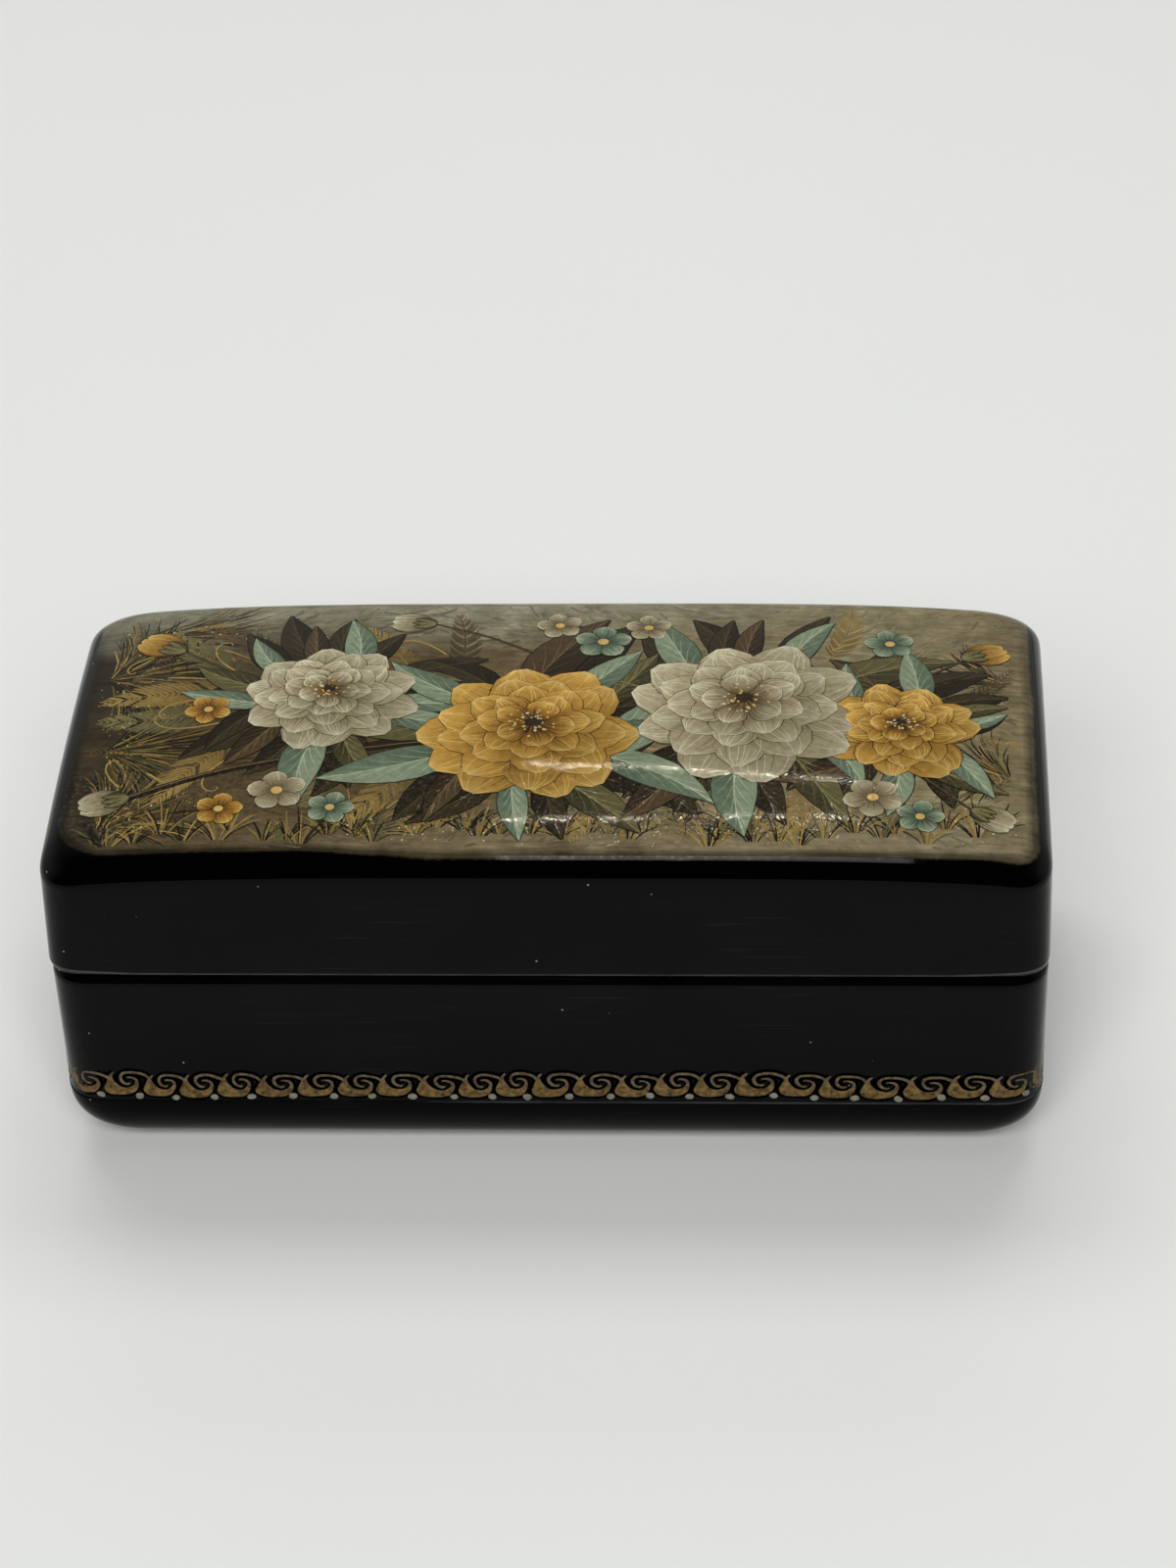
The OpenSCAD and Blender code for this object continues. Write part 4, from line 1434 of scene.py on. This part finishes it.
class Painting:
    """The strokes of the lid: broad washes, and fine lines over them."""

    def __init__(self):
        self.washes, self.lines = Strokes(), Strokes()

    def touch(self, line, halves, tint, layer):
        """A fine line, left out where it would leave the painted field."""
        if on_field(line):
            self.lines.add(line, halves, tint, layer)

    def petal(self, start, angle, length, width, tones, layer, bend=0.0, swell=1.5, hatch=8, rim=0.12):
        """One petal, dark at its root and light at its tip, on a dark rim and with fine lines along it."""
        line, share = bent_line(start, angle, length, bend)
        halves = width / 2 * np.sin(math.pi * np.clip(share, 0.015, 0.985) ** swell) ** 0.6
        left = sideways(line)
        self.washes.add(line, halves + rim, tones[0] * 0.5, layer)
        self.washes.add(line, halves, [tones[0] * 0.6, tones[0], tones[1], tones[2], tones[3]], layer + 1)
        for spot in np.linspace(-0.82, 0.82, hatch):
            light = CHANCE.random() < 0.55
            first, last = (CHANCE.integers(4, 6), 9) if light else (1, CHANCE.integers(5, 8))
            shift = (spot + CHANCE.uniform(-0.08, 0.08)) * halves[first:last, None]
            tint = tones[3] * 1.12 if light else tones[0] * 0.85
            thick = LIGHT_HATCH if light else DARK_HATCH
            self.lines.add(line[first:last] + left[first:last] * shift, thick, tint, layer + 1.6)

    def blossom(self, x, y, radius, tones, layer):
        """A full blossom: rings of petals that close in on a gold heart."""
        first = CHANCE.uniform(0, math.tau)
        for number, (count, reach, width) in enumerate(PETAL_RINGS):
            middle = np.array([x, y + 0.035 * radius * number])
            for i in range(count):
                angle = first + math.tau * (i + 0.5 * number) / count + CHANCE.uniform(-0.12, 0.12)
                shade = CHANCE.uniform(0.9, 1.08) * (1 + 0.16 * math.cos(angle - LIGHT_FROM))
                root = middle + 0.06 * radius * np.array([math.cos(angle), math.sin(angle)])
                length = radius * reach * CHANCE.uniform(0.9, 1.04)
                broad = radius * width * CHANCE.uniform(0.9, 1.12)
                bend = CHANCE.uniform(-0.4, 0.4)
                shades = [tone * shade for tone in tones]
                self.petal(root, angle, length, broad, shades, layer + 2 * number + 1.5 * i / count, bend)
        self.heart(x, y + 0.16 * radius, 0.17 * radius, layer + 2 * len(PETAL_RINGS) + 2)

    def heart(self, x, y, radius, layer):
        """The gold threads at the middle of a blossom, each with its dot."""
        self.dot(x, y, radius * 0.55, UMBER[1], layer - 1)
        for i in range(int(14 + 14 * radius)):
            angle, reach = CHANCE.uniform(0, math.tau), radius * CHANCE.uniform(0.15, 1.4)
            tip = np.array([x + reach * math.cos(angle), y + reach * math.sin(angle)])
            self.lines.add([(x, y), (tip + (x, y)) / 2, tip], THREAD, OCHRE[1], layer)
            self.dot(*tip, CHANCE.uniform(0.1, 0.19), OCHRE[3] if i % 3 else PALE_LINE, layer + 1)

    def dot(self, x, y, radius, tint, layer):
        """A round touch of the brush."""
        turn = np.linspace(-math.pi / 2, math.pi / 2, 6)
        line = np.column_stack([x + radius * np.sin(turn), np.full(len(turn), y)])
        self.lines.add(line, radius * np.cos(turn), tint, layer)

    def leaf(self, x, y, angle, length, width, tones, layer, bend=0.4):
        """A pointed leaf with one light and one dark half, and its veins."""
        line, share = bent_line((x, y), angle, length, bend, 11)
        halves = width / 2 * np.sin(math.pi * np.clip(share, 0.01, 0.99) ** 0.75) ** 0.9
        left = sideways(line)
        self.washes.add(line, halves + LEAF_RIM, tones[0] * 0.5, layer)
        light, dark = (tones[1], tones[2], tones[2]), (tones[0], tones[1], tones[1])
        for side, tints in ((0.5, light), (-0.5, dark)):
            self.washes.add(line + left * (side * halves)[:, None], halves * 0.5, tints, layer + 1)
        for i in range(1, 9):
            for side, tint in ((1, tones[3]), (-1, tones[2])):
                tip = line[i + 2] + side * left[i + 2] * halves[i + 2] * 0.88
                vein = [line[i], (line[i] + tip) / 2 + 0.1 * (line[i + 2] - line[i]), tip]
                self.lines.add(vein, VEIN, tint, layer + 1.6)
        self.lines.add(line[:-1], MIDRIB, tones[3], layer + 1.7)

    def stem(self, points, half, tones, layer):
        """A stem that thins towards its tip, with a light edge."""
        line = flowing(points, 5)
        thin = np.linspace(half, half * 0.4, len(line))
        self.washes.add(line, thin, [tones[0], tones[1]], layer)
        edge = line + sideways(line) * (thin * 0.45)[:, None]
        self.lines.add(edge, thin * 0.25, tones[3], layer + 1)

    def frond(self, x, y, angle, length, bend, tones, layer):
        """A fern frond: an even row of leaflets on each side of a curved rib, paler towards its tip."""
        line, share = bent_line((x, y), angle, length, bend, 41)
        self.touch(line[::4], FROND_RIB, tones[2], layer + 0.5)
        for place in np.linspace(0.1, 0.98, int(4 + 1.1 * length)):
            i = int(np.searchsorted(share, place))
            along = math.atan2(*(line[i] - line[i - 1])[::-1])
            reach = length * 0.23 * math.sin(math.pi * (0.22 + 0.72 * place)) * CHANCE.uniform(0.92, 1.05)
            tint = tones[1] * (1 - place) + tones[3] * place
            for side in (1, -1):
                leaflet, _ = bent_line(line[i], along + side * (1.05 - 0.35 * place), reach, -side * 0.45, 5)
                self.touch(leaflet, LEAFLET * (0.05 + 0.05 * reach), tint, layer)

    def curl(self, x, y, angle, length, turn, tint, layer):
        """A fine tendril that winds up at its end."""
        share = np.linspace(0, 1, 22)
        heading = angle + turn * (0.12 * share + 0.88 * share ** 3)
        along = np.column_stack([np.cos(heading), np.sin(heading)])
        steps = length / (len(share) - 1) * (1.25 - share)[:, None] * along
        self.touch(np.cumsum(steps, axis=0) + (x, y), TENDRIL, tint, layer)

    def stipple(self, x, y, width, height, count, layer):
        """A scatter of small gold and pale dots."""
        for _ in range(count):
            spot = np.array([x + width * CHANCE.normal(), y + height * CHANCE.normal()])
            radius = CHANCE.uniform(0.05, 0.13)
            tint = (GOLD_LINE, OCHRE[1], PALE_LINE)[CHANCE.integers(3)]
            if on_field(spot[None]):
                self.dot(*spot, radius, tint * 0.9, layer)

    def small_blossom(self, x, y, radius, tones, layer):
        """Five round petals and a gold eye."""
        first = CHANCE.uniform(0, math.tau)
        for i in range(5):
            angle = first + math.tau * i / 5
            self.petal(
                (x, y), angle, radius, radius * 0.85, tones, layer + 0.3 * i,
                swell=1.7, hatch=4, rim=0.08,
            )
        self.dot(x, y, radius * 0.2, OCHRE[3], layer + 4)

    def bud(self, x, y, angle, length, tones, layer):
        """A closed bud in its green cup."""
        for turn in (-0.35, 0.35, 0.0):
            self.petal(
                (x, y), angle + turn, length, length * 0.5, tones, layer + (turn == 0),
                bend=-turn, swell=1.2, hatch=4, rim=0.1,
            )
        for turn in (-0.6, 0.6, 0.0):
            self.leaf(x, y, angle + turn, length * 0.55, length * 0.22, OLIVE, layer + 3, -turn)

    def ground(self, count):
        """Short touches of the brush that break up the ground."""
        for _ in range(count):
            x, y = CHANCE.uniform(-50, 50), CHANCE.uniform(-23, 24)
            if not on_field(np.array([[x, y]]), GROUND_FIELD):
                continue
            swirl = 0.5 * math.sin(0.11 * x + 0.2 * y) + 0.4 * math.sin(0.23 * y - 0.07 * x)
            angle = swirl + CHANCE.uniform(-0.4, 0.4)
            tone = ground_tone(x, y) * CHANCE.uniform(0.68, 1.2)
            line, _ = bent_line((x, y), angle, CHANCE.uniform(1, 3.5), CHANCE.uniform(-0.8, 0.8), 4)
            self.touch(line, DAB * CHANCE.uniform(0.08, 0.32), tone, 0)

    def spray(self, x, y, angle, fan, length, count, layer):
        """A spray of dry grass: fine gold, olive and brown strokes that fan out from a root."""
        for _ in range(count):
            side = SPRAY_CHANCE.uniform(-1, 1)
            heading = math.radians(angle + fan * side)
            away = length * SPRAY_CHANCE.uniform(0, 0.75)
            root = np.array([x + away * math.cos(heading), y + away * math.sin(heading)])
            reach = (length - 0.6 * away) * SPRAY_CHANCE.uniform(0.35, 0.7)
            line, _ = bent_line(root, heading, reach, 0.7 * side + SPRAY_CHANCE.uniform(-0.25, 0.25), 5)
            tint = SPRAY_TINTS[SPRAY_CHANCE.integers(len(SPRAY_TINTS))] * SPRAY_CHANCE.uniform(0.8, 1.1)
            thick = DRY_BLADE * SPRAY_CHANCE.uniform(0.06, 0.15)
            self.touch(line, thick, tint, layer + SPRAY_CHANCE.random())

    def grass(self, x, y, reach, count, layer):
        """A clump of grass: blades that fan out from one root and bend over."""
        for i in range(count):
            lean = 2 * i / (count - 1) - 1 + CHANCE.uniform(-0.15, 0.15)
            root = (x + 0.12 * reach * lean, y)
            length = reach * CHANCE.uniform(0.7, 1.1) * (1 - 0.25 * abs(lean))
            blade, _ = bent_line(root, math.pi / 2 - 0.45 * lean, length, -0.9 * lean, 7)
            tint = GRASS_TINTS[CHANCE.integers(len(GRASS_TINTS))]
            self.touch(blade, BLADE * CHANCE.uniform(0.08, 0.14), tint, layer + CHANCE.random())

    def foliage(self, x, y, radius, count, layer, palettes):
        """Leaves that look out from under a blossom."""
        for i in range(count):
            angle = math.tau * (i + CHANCE.uniform(-0.3, 0.3)) / count
            out = np.array([math.cos(angle), math.sin(angle)])
            root = np.array([x, y]) + out * radius * 0.7
            length = radius * CHANCE.uniform(0.85, 1.4)
            heading, bend = angle + CHANCE.uniform(-0.5, 0.5), CHANCE.uniform(-0.7, 0.7)
            while np.any(np.abs(bent_line(root, heading, length, bend)[0][-1]) > LEAF_FIELD):
                length *= 0.85
            width = length * CHANCE.uniform(0.3, 0.4)
            tones = palettes[i % len(palettes)]
            self.leaf(*root, heading, length, width, tones, layer + 0.35 * (i * 5 % count), bend)


def compose():
    """A loose garland of garden flowers along the lid."""
    work = Painting()
    work.ground(GROUND_DABS)
    for i in range(GRASS_CLUMPS):
        x = GRASS_LEFT + GRASS_SPAN * (i + CHANCE.uniform(-0.4, 0.4)) / (GRASS_CLUMPS - 1)
        y = CHANCE.uniform(-22.3, -18.5)
        work.grass(x, y, CHANCE.uniform(3.5, 6.5), GRASS_BLADES, GRASS_LAYER)
    for x, y, angle, fan, length, count in SPRAYS:
        work.spray(x, y, angle, fan, length, count, SPRAY_LAYER)
    for x, y, angle, length, bend, tones in FRONDS:
        work.frond(x, y, math.radians(angle), length, bend, tones, FROND_LAYER)
    for x, y, angle, length, turn in CURLS:
        work.curl(x, y, math.radians(angle), length, turn, GOLD_LINE, CURL_LAYER)
    for x, y, width, height, count in STIPPLES:
        work.stipple(x, y, width, height, count, CURL_LAYER)
    for x, y, radius, _ in BLOSSOMS:
        work.foliage(x, y, radius, SHADE_LEAVES, SHADE_LAYER, [SHADE])
    for points, half in STEMS:
        work.stem(points, half, UMBER, STEM_LAYER)
    for x, y, radius, _ in BLOSSOMS:
        work.foliage(x, y, radius, BRIGHT_LEAVES, LEAF_LAYER, [MINT, OLIVE, MINT, UMBER])
    for x, y, angle, length, tones in BUDS:
        work.bud(x, y, math.radians(angle), length, tones, BUD_LAYER)
    for x, y, radius, tones in SMALL_BLOSSOMS:
        work.small_blossom(x, y, radius, tones, SMALL_BLOSSOM_LAYER)
    for x, y, radius, tones in BLOSSOMS:
        work.blossom(x, y, radius, tones, OCHRE_LAYER if tones is OCHRE else CREAM_LAYER)
    return work


STROKE_THIN_SCALE = 1200.0
WASH_RELIEF = 0.0005
LINE_RELIEF = 0.05


def drape_tree():
    """Lays flat strokes on a surface below them, each layer a little above the last."""
    tree, start, end = geometry_tree("draped strokes", [
        ("Surface", "NodeSocketObject", None),
        ("Relief", "NodeSocketFloat", 0.03),
        ("Lift", "NodeSocketFloat", 0.012 * MM),
        ("Layer Step", "NodeSocketFloat", 0.006 * MM),
        ("Material", "NodeSocketMaterial", None),
    ])
    curves = node(tree, "GeometryNodeMeshToCurve", {"Mesh": start["Geometry"]}).outputs[0]
    flat = ribbons(tree, curves, start["Relief"])
    surface = node(tree, "GeometryNodeObjectInfo", {"Object": start["Surface"]}).outputs["Geometry"]
    place = node(tree, "GeometryNodeInputPosition").outputs[0]
    above = vector_node(tree, "ADD", place, (0, 0, 1))
    hit = node(
        tree, "GeometryNodeRaycast",
        {
            "Target Geometry": surface, "Source Position": above,
            "Ray Direction": (0, 0, -1), "Ray Length": 2.0,
        },
    ).outputs
    height = split(tree, place)[2]
    layer = times(tree, attribute(tree, "layer"), start["Layer Step"])
    lift = plus(tree, plus(tree, start["Lift"], layer), height)
    laid = vector_node(tree, "ADD", hit["Hit Position"], scaled(tree, hit["Hit Normal"], lift))
    draped = node(tree, "GeometryNodeSetPosition", {"Geometry": flat, "Position": laid}).outputs[0]
    finish_tree(tree, draped, start["Material"], end)
    return tree


def stroke_paint():
    """Paint in the colour that each stroke carries, under clear lacquer."""
    material, tree, shader, place = new_material("painted strokes", 0.2, LACQUER_IOR)
    tint = node(tree, "ShaderNodeAttribute", attribute_name="tint").outputs["Color"]
    thin = noise(tree, place, STROKE_THIN_SCALE, 4.0, 0.6)
    tone = shaded(tree, tint, spread(tree, thin, 0.3, 0.7), STROKE_SHADES)
    tree.links.new(tone, shader.inputs["Base Color"])
    polished(tree, shader, place)
    return material


def lid_painting():
    """The garland laid on the lid: its broad washes, and its fine lines over them."""
    work = compose()
    tree = drape_tree()
    look = stroke_paint()
    for name, strokes, relief in (
        ("lid_washes", work.washes, WASH_RELIEF),
        ("lid_lines", work.lines, LINE_RELIEF),
    ):
        grown = grow(name, strokes.mesh(name), tree, {"Surface": LID_TOP, "Relief": relief, "Material": look})
        add_piece(name, grown, "lid")


lid_painting()


# Studio

CAMERA_DISTANCE = 541.6 * MM
CAMERA_LIFT = math.radians(36.13)
CAMERA_YAW = math.radians(3.99)
CAMERA_ROLL = math.radians(2.34)
CAMERA_ASIDE = 3.66 * MM
CAMERA_UP = 26.5 * MM
CAMERA_LENS = 108.5
FLOOR_SIZE = 6.0
TABLE_CLOUDS = 9.0
TABLE_TONES = ((0.80, 0.81, 0.785, 1), (0.83, 0.84, 0.81, 1))
TUBE_TINT = (1, 0.9, 0.72)
TUBE_SIZE = (0.25, 0.003)
TUBE_WATTS = 0.12
TUBE_TARGET = (0, 0, 0.04)
# What the camera, the polish and the light see of the room, and how high and how far behind its walls begin.
BACKDROP = (0.75, 0.76, 0.74, 1)
DARK_CORNERS = (0.03, 0.03, 0.03, 1)
PALE_WALLS = (0.6, 0.61, 0.6, 1)
DIM_ROOM = (0.05, 0.05, 0.05, 1)
WALLS_UP_TO = (0.8, 0.45)
WALLS_BEHIND = (-0.35, 0.15)


def place_camera():
    """Stands the camera where the photograph was taken from."""
    data = bpy.data.cameras.new("camera")
    data.lens = CAMERA_LENS
    data.clip_start = 0.01
    camera = in_scene("camera", data)
    turned = Matrix.Rotation(CAMERA_YAW, 3, "Z")
    back = turned @ Vector((0, -math.cos(CAMERA_LIFT), math.sin(CAMERA_LIFT)))
    right = turned @ Vector((1, 0, 0))
    up = turned @ Vector((0, math.sin(CAMERA_LIFT), math.cos(CAMERA_LIFT)))
    c, s = math.cos(CAMERA_ROLL), math.sin(CAMERA_ROLL)
    axes = Matrix((right * c - up * s, right * s + up * c, back)).transposed()
    spot = right * CAMERA_ASIDE + up * CAMERA_UP + back * CAMERA_DISTANCE
    camera.matrix_world = Matrix.Translation(spot) @ axes.to_4x4()
    bpy.context.scene.camera = camera


def lay_floor():
    """A pale table top."""
    mesh = bpy.data.meshes.new("table")
    half = FLOOR_SIZE / 2
    corners = [(-half, -half, 0), (half, -half, 0), (half, half, 0), (-half, half, 0)]
    mesh.from_pydata(corners, [], [(0, 1, 2, 3)])
    material, tree, shader, place = new_material("pale table", 0.6, 1.4)
    cloud = noise(tree, place, TABLE_CLOUDS, 4.0)
    tree.links.new(mixed(tree, cloud, *TABLE_TONES), shader.inputs["Base Color"])
    mesh.materials.append(material)
    table = in_scene("table", mesh)


def add_light(name, place, target, size, watts, shown=True, lit=True, turned=0.0, tint=(1, 1, 1)):
    """A rectangular light, turned about its own axis by some degrees.
    One that isn't shown leaves no reflection, and one that isn't lit is seen only in the polish."""
    data = bpy.data.lights.new(name, "AREA")
    data.shape = "RECTANGLE"
    data.size, data.size_y = size
    data.energy = watts
    data.color = tint
    light = in_scene(name, data)
    light.location = place
    light.rotation_euler = (Vector(target) - Vector(place)).to_track_quat("-Z", "Y").to_euler()
    light.rotation_euler.rotate_axis("Z", math.radians(turned))
    light.visible_glossy = shown
    light.visible_diffuse = lit


def light_studio():
    """Soft lights from behind, above and in front that leave no reflection,
    and a lamp, a window and two thin tubes that show in the polish."""
    add_light("back light", (-0.03, 0.26, 0.655), (-0.03, 0, 0), (0.55, 0.24), 1.65, shown=False)
    add_light("lamp", (0.0175, 0, 0.7), (0.0175, -0.025, 0.04), (0.145, 0.26), 0.65, lit=False)
    add_light("ceiling", (0, 0.1, 1.4), (0, 0, 0), (2.2, 1.0), 2.0, shown=False)
    add_light("back wall", (0, 1.2, 0.85), (0, 0, 0), (1.2, 0.6), 2.8, shown=False)
    add_light("front fill", (0, -1.6, 1.45), (0, 0, 0), (1.6, 0.8), 38.0, shown=False)
    add_light("left window", (-1.0, 0.2, 0.18), (0, 0, 0.03), (0.05, 0.05), 0.2, lit=False)
    for name, place, turned in (
        ("upper tube", (-0.03, 1.443, 1.424), 2.6),
        ("lower tube", (-0.02, 1.534, 1.33), -11),
    ):
        add_light(name, place, TUBE_TARGET, TUBE_SIZE, TUBE_WATTS, turned=turned, tint=TUBE_TINT)


def build_room():
    """A dim room. Its pale walls, low down behind and beside the box, are seen only in the polish."""
    world = bpy.data.worlds.new("room")
    world.use_nodes = True
    tree = world.node_tree
    heading = node(tree, "ShaderNodeTexCoord").outputs["Generated"]
    _, y, z = split(tree, heading)
    walls = times(tree, spread(tree, z, *WALLS_UP_TO), spread(tree, y, *WALLS_BEHIND))
    reflected = mixed(tree, walls, DARK_CORNERS, PALE_WALLS)
    path = node(tree, "ShaderNodeLightPath").outputs
    tone = mixed(tree, path["Is Glossy Ray"], DIM_ROOM, reflected)
    tone = mixed(tree, path["Is Camera Ray"], tone, BACKDROP)
    tree.links.new(tone, tree.nodes["Background"].inputs["Color"])
    bpy.context.scene.world = world
    bpy.context.scene.view_settings.view_transform = "Standard"


place_camera()
lay_floor()
light_studio()
build_room()
